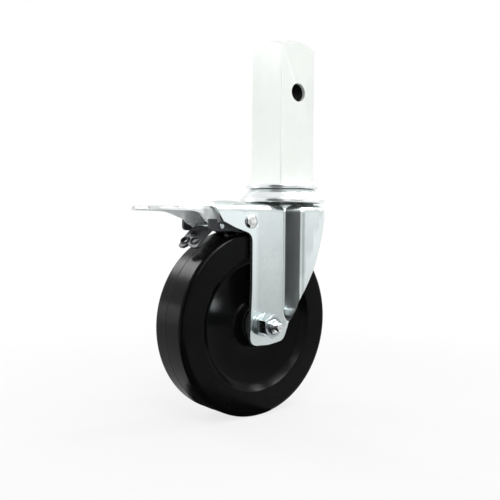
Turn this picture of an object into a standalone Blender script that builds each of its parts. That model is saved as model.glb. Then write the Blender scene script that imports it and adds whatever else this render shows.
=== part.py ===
"""Scaffold castor: square stem, double ball race swivel, pressed fork, rubber wheel and toggle brake.

Metres, +Z up. The origin is on the swivel axis at the top face of the mounting disc. The wheel
trails towards -X, where the pedal is, and the axle nut is on the -Y side.
"""
import math

import bmesh
import bpy
from mathutils import Matrix, Vector

# Running and seating clearances
GAP = 0.0003
BRAKE_CLEARANCE = 0.0005

# Square stem tube
STEM_SIDE = 0.03175
STEM_WALL = 0.0025
STEM_HEIGHT = 0.0992
STEM_EDGE = 0.0006
STEM_LAND = 0.0157
STEM_CHAMFER_DEG = 30.0
PIN_HOLE_RADIUS = 0.00635
PIN_HOLE_DROP = 0.0348
WELD_LENGTH = 0.0150
WELD_LEG = 0.0036
WELD_SHIFT = 0.0080

# Swivel head
DISC_RADIUS = 0.0259
DISC_THICKNESS = 0.0030
CAP_SHEET = 0.0022
CAP_SHOULDER = 0.0245
CAP_SKIRT = 0.0296
CAP_DROP = 0.0062
LIP_RADIUS = 0.03055
LIP_HEIGHT = 0.0030
BALL_RADIUS = 0.00238
UPPER_BALLS = 12
LOWER_BALLS = 8
LOWER_PITCH = 0.0126
CAGE_SHEET = 0.0007
KING_PIN_RADIUS = 0.0062
KING_HEAD_RADIUS = 0.0100
KING_HEAD_HEIGHT = 0.0050
LOWER_RACE_SHEET = 0.0025
LOCK_RING_SHEET = 0.0022
LOCK_RING_RADIUS = 0.0190
LOCK_TEETH = 24
LOCK_TOOTH_DEPTH = 0.0035
KING_NUT_FLATS = 0.01905
KING_NUT_HEIGHT = 0.0070

# Fork
FORK_SHEET = 0.0025
BEND_RADIUS = 0.0060
DOME_RISE = 0.0066
DOME_TOP = 0.0172
NOSE_GROWTH = 0.00015
REAR_ARM = 0.0280
LEG_REAR = 0.0095
LEG_FOOT = 0.0142
LEG_CORNER = 0.0105
STEP_FOOT = 0.0158
STEP_WALL_DEG = 52.0
STEP_FOOT_RADIUS = 0.0030
STEP_HEAD_RADIUS = 0.0065
# Where the drawn step runs out: height over the axle, and how far forward it has moved
STEP_RUNOUT = ((0.0098, 0.0), (0.0037, 0.0012), (0.0012, 0.0031), (-0.0003, 0.0045), (-0.0030, 0.0075))
LEG_FRONT = 0.0228
HUMP_LENGTH = 0.0290
HUMP_WIDTH = 0.0180
HUMP_RISE = 0.0021

# Wheel and axle
WHEEL_RADIUS = 0.0635
WHEEL_WIDTH = 0.03175
WHEEL_SHOULDER = 0.0036
WHEEL_SIDE_PLAY = 0.001225
AXLE_TRAIL = 0.0340
RECESS_RADIUS = 0.0465
RECESS_DEPTH = 0.0042
RECESS_SLOPE = 0.0052
WEB_HALF = 0.0090
HUB_RADIUS = 0.0148
AXLE_RADIUS = 0.00476
AXLE_FLATS = 0.01429
AXLE_HEAD = 0.0063
AXLE_NUT_HEIGHT = 0.0083
AXLE_END = 0.0012
LOCK_WASHER_SHEET = 0.0024
LOCK_WASHER_SPLIT = 0.0020
THRUST_SHEET = 0.0006
THRUST_RADIUS = 0.0128
SLEEVE_WALL = 0.0013
ROLLERS = 8
ROLLER_RADIUS = 0.0016
ROLLER_END_ROOM = 0.002375
ROLLER_CAGE_WALL = 0.0010
SHELL_WALL = 0.00175
NIPPLE_HEAD = 0.00295
NIPPLE_NECK = 0.0019
NIPPLE_BASE = 0.0034
NIPPLE_LENGTH = 0.0052
NIPPLE_SHANK = 0.0050

# Brake
MECHANISM_ROOM = 0.0153
PIVOT_AHEAD = 0.0110
PIVOT_DROP = 0.0119
PIVOT_RADIUS = 0.0030
PIVOT_HEAD = 0.00475
PIVOT_HEAD_RISE = 0.0024
LEVER_TRAVEL_DEG = 8.0
LEVER_SIDE_ROOM = 0.0013
LEVER_SHEET = 0.0020
LEVER_FRONT = 0.0310
LEVER_FLOOR = 0.0064
LEVER_NOSE_RADIUS = 0.0032
LUG_LENGTH = 0.0060
LUG_RISE = 0.0013
LEVER_TAIL = 0.0300
WEB_FRONT = 0.0245
WEB_WIDE_FRONT = 0.0172
WEB_REAR = 0.0070
TONGUE_HALF = 0.0109
TONGUE_BITE_DEG = 43.5
TONGUE_BULGE = 0.0008
SLOT_HALF = 0.0016
SLOT_RADIUS = 0.0018
SLOT_RIM = 0.0010
SLOT_SPREAD = 0.0056
SLOT_SHIFT = 0.0009
BITE_CORNER = 0.0014
BITE_NOTCH = 0.0026
BITE_NOTCH_HALF = 0.0046
TOGGLE_REACH = 0.0215
TOGGLE_DROP = 0.0031
TOGGLE_RATIO = 1.5
TOGGLE_RADIUS = 0.0014
TOGGLE_HEAD = 0.0019
TOGGLE_HEAD_RISE = 0.0006
PEDAL_SHEET = 0.0020
PEDAL_HALF = 0.0190
PEDAL_TIP = 0.0500
PEDAL_BEND = 0.0022
PEDAL_EDGE = 0.0026
PEDAL_FLANGE = 0.0145
PEDAL_SLOT_LENGTH = 0.0083
PEDAL_SLOT_PLACE = 0.0117
PEDAL_SLOT_DEPTH = 0.0026
PEDAL_SLOT_DROP = 0.0013
SPRING_WIRE = 0.0014
SPRING_COIL = 0.0052
SPRING_TURNS = 4
SPRING_ARM = 0.0150
SPRING_HOOK = 0.0040

# Levels and places that follow from the sizes above
CAP_TOP = -DISC_THICKNESS - GAP
CAP_INNER_TOP = CAP_TOP - CAP_SHEET
LIP_BOTTOM = CAP_TOP - CAP_DROP - LIP_HEIGHT - 0.0004
CROWN_TOP = LIP_BOTTOM - 0.0015
CROWN_BOTTOM = CROWN_TOP - FORK_SHEET
DOME_LEVEL = CROWN_TOP + DOME_RISE
BALL_SEAT = BALL_RADIUS + GAP
UPPER_LEVEL = CAP_INNER_TOP - BALL_SEAT
LOWER_LEVEL = DOME_LEVEL - FORK_SHEET - BALL_SEAT
LOWER_RACE_TOP = LOWER_LEVEL - BALL_SEAT + 0.0008
LOWER_RACE_BOTTOM = LOWER_LEVEL - BALL_SEAT - LOWER_RACE_SHEET
LOCK_RING_TOP = LOWER_RACE_BOTTOM - GAP
LOCK_RING_BOTTOM = LOCK_RING_TOP - LOCK_RING_SHEET
KING_NUT_TOP = LOCK_RING_BOTTOM - GAP
KING_NUT_BOTTOM = KING_NUT_TOP - KING_NUT_HEIGHT
LEG_INNER = WHEEL_WIDTH / 2 + WHEEL_SIDE_PLAY
ROLLER_LENGTH = WHEEL_WIDTH - 2 * ROLLER_END_ROOM
LEG_OUTER = LEG_INNER + FORK_SHEET
LEVER_HALF = LEG_INNER - LEVER_SIDE_ROOM
PEDAL_NECK = LEVER_HALF - LEVER_SHEET - BRAKE_CLEARANCE
NOSE_RADIUS = LIP_RADIUS + NOSE_GROWTH
AXLE_X = -AXLE_TRAIL
AXLE_Z = CROWN_BOTTOM - MECHANISM_ROOM - WHEEL_RADIUS
PIVOT_X = AXLE_X - PIVOT_AHEAD
PIVOT_Z = CROWN_TOP - PIVOT_DROP
TOGGLE_X = PIVOT_X - TOGGLE_REACH
TOGGLE_Z = PIVOT_Z - TOGGLE_DROP
PEDAL_TOP = CROWN_BOTTOM - 0.0004

ZINC = (0.80, 0.82, 0.82)
ZINC_DULL = (0.66, 0.68, 0.68)
BRIGHT_STEEL = (0.72, 0.73, 0.74)
RUBBER = (0.012, 0.012, 0.013)
BLACK_OXIDE = (0.030, 0.031, 0.033)
NYLON = (0.75, 0.72, 0.62)

part = None
cutters = None


def clear_scene():
    """Empty the scene and make the two collections."""
    global part, cutters
    for old in list(bpy.data.objects):
        bpy.data.objects.remove(old, do_unlink=True)
    part = bpy.data.collections.new("scaffold_castor")
    cutters = bpy.data.collections.new("cutters")
    bpy.context.scene.collection.children.link(part)
    bpy.context.scene.collection.children.link(cutters)


def material(name, colour, metallic, roughness):
    """A Principled material of its own for one sub-part."""
    made = bpy.data.materials.new(name)
    made.use_nodes = True
    shader = made.node_tree.nodes["Principled BSDF"]
    shader.inputs["Base Color"].default_value = (*colour, 1.0)
    shader.inputs["Metallic"].default_value = metallic
    shader.inputs["Roughness"].default_value = roughness
    return made


def zinc(name):
    return material(name + "_zinc", ZINC, 1.0, 0.32)


def steel(name):
    return material(name + "_steel", BRIGHT_STEEL, 1.0, 0.22)


def oxide(name):
    return material(name + "_oxide", BLACK_OXIDE, 0.6, 0.38)


def add_object(name, mesh, skin=None, at=(0, 0, 0), turn=(0, 0, 0)):
    """Link a mesh as a sub-part, or as a hidden cutter when it has no skin."""
    made = bpy.data.objects.new(name, mesh)
    made.location = at
    made.rotation_euler = turn
    if skin is None:
        cutters.objects.link(made)
        made.hide_render = True
        made.display_type = "WIRE"
    else:
        part.objects.link(made)
        made.data.materials.clear()
        made.data.materials.append(skin)
    return made


def smooth(made, angle=40.0):
    """Shade an object's mesh smooth but for its sharp edges."""
    made.data.shade_smooth()
    made.data.set_sharp_from_angle(angle=math.radians(angle))


def modify(made, other, operation):
    """Join, cut or trim an object with another."""
    change = made.modifiers.new(operation.lower(), "BOOLEAN")
    change.operation = operation
    change.solver = "EXACT"
    change.object = other


def new_mesh(name, build):
    """A mesh filled by a function that works on a bmesh."""
    work = bmesh.new()
    build(work)
    mesh = bpy.data.meshes.new(name)
    work.to_mesh(mesh)
    work.free()
    return mesh


def ring_profile(outer, inner):
    """A closed profile: down the outer side, then up the bore."""
    return list(outer) + list(inner)


def turned(name, profile, segments, skin=None, at=(0, 0, 0), turn=(0, 0, 0)):
    """Turn a closed or axis-to-axis profile of (radius, height) points about local Z."""
    closed = profile[0][0] > 0 and profile[-1][0] > 0

    def build(work):
        points = [work.verts.new((radius, 0, height)) for radius, height in profile]
        for start, end in zip(points, points[1:]):
            work.edges.new((start, end))
        if closed:
            work.edges.new((points[-1], points[0]))

    made = add_object(name, new_mesh(name, build), skin, at, turn)
    screw = made.modifiers.new("turn", "SCREW")
    screw.steps = segments
    screw.render_steps = segments
    screw.use_merge_vertices = True
    screw.merge_threshold = 0.00002
    screw.use_smooth_shade = True
    return made


def arc(centre, radius, start, end, count):
    """Points on an arc, with its angles in degrees."""
    angles = [math.radians(start + (end - start) * step / (count - 1)) for step in range(count)]
    return [(centre[0] + radius * math.cos(a), centre[1] + radius * math.sin(a)) for a in angles]


def rounded(corners, radius, count=4):
    """A closed outline with its corners rounded; radius is one value or one for each corner."""
    radii = radius if isinstance(radius, (list, tuple)) else [radius] * len(corners)
    outline = []
    for index, corner in enumerate(corners):
        here = Vector(corner)
        back = (Vector(corners[index - 1]) - here)
        ahead = (Vector(corners[(index + 1) % len(corners)]) - here)
        turn = back.angle(ahead)
        reach = radii[index] / math.tan(turn / 2)
        if reach < 1e-6:
            outline.append(tuple(here))
            continue
        reach = min(reach, 0.49 * back.length, 0.49 * ahead.length)
        start = here + back.normalized() * reach
        end = here + ahead.normalized() * reach
        for step in range(count + 1):
            t = step / count
            point = (1 - t) ** 2 * start + 2 * t * (1 - t) * here + t * t * end
            outline.append(tuple(point))
    return outline


def plate(name, outlines, thickness, skin=None, matrix=None):
    """A flat plate from a filled 2D curve; outlines after the first are holes."""
    curve = bpy.data.curves.new(name, "CURVE")
    curve.dimensions = "2D"
    curve.fill_mode = "BOTH"
    curve.extrude = thickness / 2
    for outline in outlines:
        spline = curve.splines.new("POLY")
        spline.points.add(len(outline) - 1)
        for point, place in zip(spline.points, outline):
            point.co = (place[0], place[1], 0, 1)
        spline.use_cyclic_u = True
    drawn = bpy.data.objects.new(name + "_curve", curve)
    cutters.objects.link(drawn)
    graph = bpy.context.evaluated_depsgraph_get()
    mesh = bpy.data.meshes.new_from_object(drawn.evaluated_get(graph))
    bpy.data.objects.remove(drawn, do_unlink=True)
    bpy.data.curves.remove(curve)
    mesh.name = name
    work = bmesh.new()
    work.from_mesh(mesh)
    bmesh.ops.remove_doubles(work, verts=work.verts, dist=1e-6)
    bmesh.ops.recalc_face_normals(work, faces=work.faces)
    work.to_mesh(mesh)
    work.free()
    if matrix is not None:
        mesh.transform(matrix)
        if matrix.determinant() < 0:
            mesh.flip_normals()
    return add_object(name, mesh, skin)


def side_plate(name, outlines, middle, thickness, skin=None):
    """A plate whose outline is drawn in X and Z and whose thickness is along Y."""
    stand = Matrix(((1, 0, 0, 0), (0, 0, 1, middle), (0, 1, 0, 0), (0, 0, 0, 1)))
    return plate(name, outlines, thickness, skin, stand)


def level_plate(name, outlines, bottom, thickness, skin=None):
    """A plate whose outline is drawn in X and Y, standing on a level."""
    return plate(name, outlines, thickness, skin, Matrix.Translation((0, 0, bottom + thickness / 2)))


def box(name, low, high):
    """A box cutter between two corners."""
    size = [b - a for a, b in zip(low, high)]
    middle = [(a + b) / 2 for a, b in zip(low, high)]

    def build(work):
        bmesh.ops.create_cube(work, size=1.0)
        bmesh.ops.scale(work, vec=size, verts=work.verts)
        bmesh.ops.translate(work, vec=middle, verts=work.verts)

    return add_object(name, new_mesh(name, build))


def rod(name, radius, length, segments, place=(0, 0, 0), axis="Y"):
    """A round cutter centred on a place."""
    turns = {"X": Matrix.Rotation(math.pi / 2, 4, "Y"), "Y": Matrix.Rotation(math.pi / 2, 4, "X"),
             "Z": Matrix.Identity(4)}

    def build(work):
        bmesh.ops.create_cone(work, cap_ends=True, segments=segments, radius1=radius,
                              radius2=radius, depth=length, matrix=turns[axis])
        bmesh.ops.translate(work, vec=place, verts=work.verts)

    return add_object(name, new_mesh(name, build))


def hex_piece(name, flats, height, bore, skin, at=(0, 0, 0), turn=(0, 0, 0)):
    """A hexagon with both faces chamfered by a turned form and an optional bore."""
    corner = flats / math.sqrt(3)

    def build(work):
        bmesh.ops.create_cone(work, cap_ends=True, segments=6, radius1=corner, radius2=corner,
                              depth=height, matrix=Matrix.Translation((0, 0, height / 2)))

    made = add_object(name, new_mesh(name, build), skin, at, turn)
    slope = (corner - flats / 2) * 0.62
    trim = turned(name + "_trim", [(0, height + 1e-4), (flats / 2 * 0.96, height + 1e-4),
                                   (corner * 1.02, height - slope), (corner * 1.02, slope),
                                   (flats / 2 * 0.96, -1e-4), (0, -1e-4)], 30, None, at, turn)
    modify(made, trim, "INTERSECT")
    if bore:
        drill = turned(name + "_bore", [(0, height * 2), (bore, height * 2), (bore, -height),
                                        (0, -height)], 20, None, at, turn)
        modify(made, drill, "DIFFERENCE")
    return made


# Stem and swivel head

def make_stem():
    """Square tube, open at the top, with a turned end and a cross hole through two faces."""
    foot = GAP
    half = STEM_SIDE / 2
    bore = half - STEM_WALL
    outer = rounded([(-half, -half), (half, -half), (half, half), (-half, half)], STEM_EDGE, 2)
    inner = rounded([(-bore, -bore), (bore, -bore), (bore, bore), (-bore, bore)], STEM_WALL * 0.3, 2)
    stem = level_plate("stem_tube", [outer, inner], foot, STEM_HEIGHT - foot, zinc("stem_tube"))
    corner = half * math.sqrt(2) + 0.001
    fall = (corner - STEM_LAND) * math.tan(math.radians(STEM_CHAMFER_DEG))
    lathe = turned("stem_end_trim", [(0, STEM_HEIGHT + 0.0002), (STEM_LAND, STEM_HEIGHT + 0.0002),
                                     (corner, STEM_HEIGHT - fall), (corner, -0.001), (0, -0.001)], 48)
    modify(stem, lathe, "INTERSECT")
    drill = rod("stem_pin_hole", PIN_HOLE_RADIUS, STEM_SIDE * 1.5, 24,
                (0, 0, STEM_HEIGHT - PIN_HOLE_DROP))
    modify(stem, drill, "DIFFERENCE")
    return stem


def make_weld(name, side):
    """A rippled fillet of weld in the corner between one stem face and the disc."""
    face = STEM_SIDE / 2 + GAP

    def build(work):
        bmesh.ops.create_uvsphere(work, u_segments=14, v_segments=10, radius=1.0,
                                  matrix=Matrix.Rotation(math.pi / 2, 4, "Y"))
        for vert in work.verts:
            ripple = 1 + 0.07 * math.sin(vert.co.x * 11.0) * (1 - vert.co.x ** 2)
            vert.co = Vector((vert.co.x * WELD_LENGTH / 2, vert.co.y * WELD_LEG * ripple,
                              vert.co.z * WELD_LEG * ripple))

    bead = add_object(name, new_mesh(name, build), zinc(name), (side * WELD_SHIFT, -side * face, GAP))
    reach = WELD_LENGTH + WELD_LEG
    near, far = sorted((-side * face, -side * (face + reach)))
    corner = box(name + "_corner", (-reach * 2, near, GAP), (reach * 2, far, reach))
    modify(bead, corner, "INTERSECT")
    smooth(bead)


def make_disc():
    rim = DISC_THICKNESS * 0.36
    bore = KING_PIN_RADIUS + GAP
    outer = [(DISC_RADIUS - rim, 0)]
    outer += arc((DISC_RADIUS - rim, -rim), rim, 60, 0, 3)
    outer += [(DISC_RADIUS, -DISC_THICKNESS + rim * 0.8)]
    outer += [(DISC_RADIUS - rim * 0.7, -DISC_THICKNESS)]
    turned("mounting_disc", ring_profile(outer, [(bore, -DISC_THICKNESS), (bore, 0)]), 44,
           zinc("mounting_disc"))


def skirt_slope():
    """Unit direction down the cap's outer cone and the unit normal that points inwards."""
    down = Vector((CAP_SKIRT - CAP_SHOULDER, -CAP_DROP + 0.0004)).normalized()
    return down, Vector((down.y, -down.x))


def upper_pitch():
    """Radius at which a ball touches both the cap's flat underside and its cone, with the gap."""
    inward = skirt_slope()[1]
    wall = Vector((CAP_SHOULDER, CAP_TOP - 0.0004)) + inward * CAP_SHEET
    return wall.x + (BALL_SEAT - (UPPER_LEVEL - wall.y) * inward.y) / inward.x


def make_cap():
    """Pressed race cover: flat top, cone and rolled lip, all of one sheet."""
    down, inward = skirt_slope()
    shoulder = Vector((CAP_SHOULDER, CAP_TOP - 0.0004))
    skirt = shoulder + down * (CAP_SKIRT - CAP_SHOULDER) / down.x
    wall_top = shoulder + inward * CAP_SHEET
    corner = wall_top + down * (CAP_INNER_TOP - wall_top.y) / down.y
    wall_foot = skirt + inward * CAP_SHEET
    bore = KING_PIN_RADIUS + GAP
    outer = [(CAP_SHOULDER - 0.0012, CAP_TOP), tuple(shoulder), tuple(skirt)]
    outer += arc((LIP_RADIUS - 0.0008, skirt.y - 0.0008), 0.0008, 80, 0, 3)
    outer += [(LIP_RADIUS, LIP_BOTTOM + 0.0006), (LIP_RADIUS - 0.0006, LIP_BOTTOM)]
    inner = [(LIP_RADIUS - CAP_SHEET + 0.0004, LIP_BOTTOM), (LIP_RADIUS - CAP_SHEET, LIP_BOTTOM + 0.0004),
             tuple(wall_foot), tuple(corner), (bore, CAP_INNER_TOP), (bore, CAP_TOP)]
    turned("race_cap", ring_profile(outer, inner), 44, zinc("race_cap"))


def make_king_pin():
    chamfer = 0.0008
    head = GAP + KING_HEAD_HEIGHT
    tail = KING_NUT_BOTTOM - 0.0015
    turned("king_pin", [(0, head), (KING_HEAD_RADIUS - chamfer, head), (KING_HEAD_RADIUS, head - chamfer),
                        (KING_HEAD_RADIUS, GAP), (KING_PIN_RADIUS, GAP),
                        (KING_PIN_RADIUS, tail + chamfer), (KING_PIN_RADIUS - chamfer, tail), (0, tail)],
           24, steel("king_pin"))


def make_lower_race():
    """Pressed washer with a ball groove and an upturned rim, held by the king pin."""
    bore = KING_PIN_RADIUS + GAP
    edge = LOWER_PITCH + 0.0048
    bite = math.degrees(math.asin((LOWER_LEVEL - LOWER_RACE_TOP) / BALL_SEAT))
    outer = [(edge - 0.0016, LOWER_RACE_TOP + 0.0015), (edge - 0.0003, LOWER_RACE_TOP + 0.0015),
             (edge, LOWER_RACE_TOP + 0.0011), (edge, LOWER_RACE_BOTTOM + 0.0005),
             (edge - 0.0005, LOWER_RACE_BOTTOM)]
    inner = [(bore, LOWER_RACE_BOTTOM), (bore, LOWER_RACE_TOP)]
    inner += arc((LOWER_PITCH, LOWER_LEVEL), BALL_SEAT, -180 + bite, -bite, 4)
    turned("lower_race", ring_profile(outer, inner), 28, steel("lower_race"))


def star(inner, outer, count, half_deg, first_deg=0.0):
    """Outline of a disc with radial fingers, as (x, y) points."""
    points = []
    for index in range(count):
        middle = first_deg + 360.0 * index / count
        tips = [(inner, middle - half_deg), (outer, middle - half_deg), (outer, middle + half_deg),
                (inner, middle + half_deg), (inner, middle + 180.0 / count)]
        for radius, degrees in tips:
            points.append((radius * math.cos(math.radians(degrees)),
                           radius * math.sin(math.radians(degrees))))
    return points


def circle(radius, count):
    return [(radius * math.cos(2 * math.pi * i / count), radius * math.sin(2 * math.pi * i / count))
            for i in range(count)]


def make_lock_ring():
    """Toothed ring under the lower race, which the brake lever's tail locks into."""
    teeth = star(LOCK_RING_RADIUS - LOCK_TOOTH_DEPTH, LOCK_RING_RADIUS, LOCK_TEETH, 90.0 / LOCK_TEETH,
                 180.0 / LOCK_TEETH)
    level_plate("swivel_lock_ring", [teeth, circle(KING_PIN_RADIUS + GAP, 24)], LOCK_RING_BOTTOM,
                LOCK_RING_SHEET, steel("swivel_lock_ring"))


def make_king_nut():
    hex_piece("king_pin_nut", KING_NUT_FLATS, KING_NUT_HEIGHT, KING_PIN_RADIUS + GAP,
              zinc("king_pin_nut"), (0, 0, KING_NUT_BOTTOM))


def make_balls(name, count, pitch, level, skin):
    """One row of balls, sharing a mesh."""

    def build(work):
        bmesh.ops.create_uvsphere(work, u_segments=8, v_segments=6, radius=BALL_RADIUS)

    mesh = new_mesh(name, build)
    for index in range(count):
        angle = 2 * math.pi * (index + 0.5) / count
        ball = add_object(f"{name}_{index + 1:02d}", mesh, skin,
                          (pitch * math.cos(angle), pitch * math.sin(angle), level))
        smooth(ball, 80.0)


def make_cages():
    """Sheet spiders whose fingers keep the balls of each row apart."""
    pitch = upper_pitch()
    bottom = DOME_LEVEL + GAP
    beside = math.sqrt(BALL_RADIUS ** 2 - (UPPER_LEVEL - bottom) ** 2)
    half = 180.0 / UPPER_BALLS - math.degrees((beside + 1.5 * GAP) / pitch)
    level_plate("upper_ball_cage", [star(pitch - BALL_RADIUS - 0.0012, pitch + 0.0008, UPPER_BALLS, half),
                                    circle(DOME_TOP * 0.62, 24)],
                bottom, CAGE_SHEET, material("upper_ball_cage_nylon", NYLON, 0.0, 0.5))
    half = 180.0 / LOWER_BALLS - math.degrees((BALL_RADIUS + 1.5 * GAP) / LOWER_PITCH)
    level_plate("lower_ball_cage", [star(LOWER_PITCH - BALL_RADIUS - 0.0006, LOWER_PITCH + 0.0014,
                                         LOWER_BALLS, half), circle(KING_PIN_RADIUS + 0.0008, 20)],
                LOWER_LEVEL - CAGE_SHEET / 2, CAGE_SHEET,
                material("lower_ball_cage_nylon", NYLON, 0.0, 0.5))


# Fork

def tangent_head():
    """Centre of the fillet that joins the drawn step's wall to the round nose, on the -Y side."""
    slope = math.radians(STEP_WALL_DEG)
    wall = Vector((math.cos(slope), -math.sin(slope)))
    out = Vector((-math.sin(slope), -math.cos(slope)))
    foot = Vector((-STEP_FOOT, -LEG_OUTER)) - out * STEP_HEAD_RADIUS
    reach = NOSE_RADIUS - STEP_HEAD_RADIUS
    along = foot.dot(wall)
    travel = -along + math.sqrt(along ** 2 - foot.length_squared + reach ** 2)
    return foot + wall * travel, out


def half_plan():
    """Plan of the fork's outer side for Y below 0, rear to front, as (point, outward normal)."""
    rear = AXLE_X - PIVOT_AHEAD - REAR_ARM - 3 * BEND_RADIUS
    head, out = tangent_head()
    slope = math.radians(STEP_WALL_DEG)
    turn = slope / 2
    foot_x = -STEP_FOOT - STEP_FOOT_RADIUS * math.tan(turn)
    foot = Vector((foot_x, -LEG_OUTER - STEP_FOOT_RADIUS))
    plan = [(Vector((rear, 0)), Vector((-1, 0))), (Vector((rear, -LEG_OUTER / 2)), Vector((-1, 0)))]
    corner = Vector((rear, -LEG_OUTER))
    plan.append((corner, Vector((-1, -1))))
    first = math.atan2(LEG_OUTER, -rear)
    last = math.atan2(LEG_OUTER, -foot_x)
    for step in range(1, 5):
        angle = first + (last - first) * step / 4
        plan.append((Vector((-LEG_OUTER / math.tan(angle), -LEG_OUTER)), Vector((0, -1))))
    for step in range(1, 4):
        angle = slope * step / 3
        normal = Vector((-math.sin(angle), -math.cos(angle)))
        plan.append((foot - normal * STEP_FOOT_RADIUS, normal))
    nose = head.normalized()
    start = math.atan2(-out.x, -out.y)
    end = math.atan2(-nose.x, -nose.y)
    for step in range(4):
        angle = start + (end - start) * step / 3
        normal = Vector((-math.sin(angle), -math.cos(angle)))
        plan.append((head + normal * STEP_HEAD_RADIUS, normal))
    for step in range(1, 8):
        angle = end + (-math.pi / 2 - end) * step / 7
        normal = Vector((-math.sin(angle), -math.cos(angle)))
        plan.append((normal * NOSE_RADIUS, normal))
    return plan


def full_plan():
    """The whole plan, anticlockwise from the rear seen from above."""
    near = half_plan()
    far = [(Vector((p.x, -p.y)), Vector((n.x, -n.y))) for p, n in reversed(near[1:-1])]
    return near + far


def moved(point, ahead):
    """A plan point of the step or the nose moved forward, where the step runs out at its foot."""
    if point.x < -STEP_FOOT - 2 * STEP_FOOT_RADIUS:
        return point
    return Vector((point.x + ahead, point.y))


def dome_profile():
    """Radius and height down the crown's raised race, from the bore to the flat crown."""
    pitch = upper_pitch()
    seat = arc((pitch, UPPER_LEVEL), BALL_SEAT, 200, 250, 3)
    outside = pitch + BALL_SEAT * 0.35
    return ([(LOWER_PITCH - BALL_RADIUS - 0.0008, DOME_LEVEL), (DOME_TOP, DOME_LEVEL)] + seat
            + [(outside, CROWN_TOP + 0.0006), (outside + 0.0012, CROWN_TOP)])


def make_fork_surface(work):
    """Loft of the outer surface: race dome, crown, bend and skirt down past the feet."""
    plan = full_plan()
    loops = []
    for radius, height in dome_profile():
        loops.append([(p.x * radius / p.length, p.y * radius / p.length, height)
                      for p in (q - n * BEND_RADIUS for q, n in plan)])
    clear = dome_profile()[-1][0] + 0.0002
    for step in range(5):
        angle = math.pi / 2 * step / 4
        inset = BEND_RADIUS * (1 - math.sin(angle))
        height = CROWN_TOP - BEND_RADIUS * (1 - math.cos(angle))
        least = clear + 0.00015 * step
        loops.append([(*(p * max(1.0, least / p.length)), height)
                      for p in (q - n * inset for q, n in plan)])
    foot = AXLE_Z - LEG_FOOT
    for height, ahead in STEP_RUNOUT:
        loops.append([(*moved(q, ahead), AXLE_Z + height) for q, n in plan])
    loops.append([(*moved(q, STEP_RUNOUT[-1][1]), foot - 0.003) for q, n in plan])
    rings = [[work.verts.new(point) for point in loop] for loop in loops]
    count = len(plan)
    for upper, lower in zip(rings, rings[1:]):
        for index in range(count):
            ahead = (index + 1) % count
            work.faces.new((upper[index], lower[index], lower[ahead], upper[ahead]))


def side_outline():
    """Side view of the fork that is kept, in X and Z."""
    rear = AXLE_X - LEG_REAR
    foot = AXLE_Z - LEG_FOOT
    arm = PIVOT_X - REAR_ARM
    top = CROWN_TOP + DOME_RISE + 0.005
    front = AXLE_X + LEG_FRONT
    corners = [(arm, top), (arm, PIVOT_Z + 0.0080), (arm + 0.0052, PIVOT_Z + 0.0002),
               (arm + 0.0150, PIVOT_Z - 0.0040), (rear - 0.0001, PIVOT_Z - 0.0084),
               (rear, PIVOT_Z - 0.0450), (rear - 0.0011, AXLE_Z), (rear - 0.0016, foot + 0.0006),
               (rear + 0.0150, foot - 0.0001), (front - 0.0042, AXLE_Z - 0.0124), (front + 0.0004, AXLE_Z - 0.0020),
               (front, AXLE_Z + 0.0040), (front + 0.0026, AXLE_Z + 0.0170), (0.0023, AXLE_Z + 0.0362),
               (0.0176, AXLE_Z + 0.0690),
               (0.0212, AXLE_Z + 0.0733), (NOSE_RADIUS * 0.86, CROWN_TOP - BEND_RADIUS - 0.0006),
               (NOSE_RADIUS + 0.004, CROWN_TOP - BEND_RADIUS - 0.0001), (NOSE_RADIUS + 0.004, top)]
    radii = [0, 0.004, 0.006, 0.02, 0.007, 0.05, 0, LEG_CORNER, 0.03, 0.007, 0.01, 0.02, 0.03, 0.05, 0.01,
             0.004, 0.004, 0, 0]
    return rounded(corners, radii, 3)


def make_fork():
    """One pressed sheet: the lofted skin is thickened, then trimmed and pierced."""
    yoke = add_object("fork_yoke", new_mesh("fork_yoke", make_fork_surface), zinc("fork_yoke"))
    shell = yoke.modifiers.new("sheet", "SOLIDIFY")
    shell.thickness = FORK_SHEET
    shell.offset = -1.0
    shell.use_even_offset = True
    keep = side_plate("fork_side_view", [side_outline()], 0, NOSE_RADIUS * 2.4)
    modify(yoke, keep, "INTERSECT")
    modify(yoke, rod("fork_axle_hole", AXLE_RADIUS + GAP, LEG_OUTER * 3, 24, (AXLE_X, 0, AXLE_Z)),
           "DIFFERENCE")
    modify(yoke, rod("fork_pivot_hole", PIVOT_RADIUS + GAP, LEG_OUTER * 3, 20, (PIVOT_X, 0, PIVOT_Z)),
           "DIFFERENCE")
    modify(yoke, make_hump(), "UNION")
    smooth(yoke, 35.0)


def make_hump():
    """Raised swage on the crown behind the head, flat below so that it stays in the sheet."""
    middle = PIVOT_X - 0.006

    def build(work):
        bmesh.ops.create_uvsphere(work, u_segments=16, v_segments=8, radius=1.0)
        for vert in work.verts:
            rise = HUMP_RISE if vert.co.z > 0 else FORK_SHEET * 0.5
            vert.co = Vector((middle + vert.co.x * HUMP_LENGTH / 2, vert.co.y * HUMP_WIDTH / 2,
                              CROWN_TOP - FORK_SHEET * 0.2 + vert.co.z * (rise + FORK_SHEET * 0.2)))

    return add_object("fork_hump", new_mesh("fork_hump", build))


# Wheel and axle

def across(name, profile, segments, skin=None):
    """A turned piece on the axle; profile heights run towards -Y."""
    return turned(name, profile, segments, skin, (AXLE_X, 0, AXLE_Z), (math.pi / 2, 0, 0))


def bearing_radii():
    """Sleeve outer radius, roller pitch, shell bore and wheel bore."""
    sleeve = AXLE_RADIUS + GAP + SLEEVE_WALL
    pitch = sleeve + GAP + ROLLER_RADIUS
    shell = pitch + ROLLER_RADIUS + GAP
    return sleeve, pitch, shell, shell + SHELL_WALL + GAP


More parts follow.
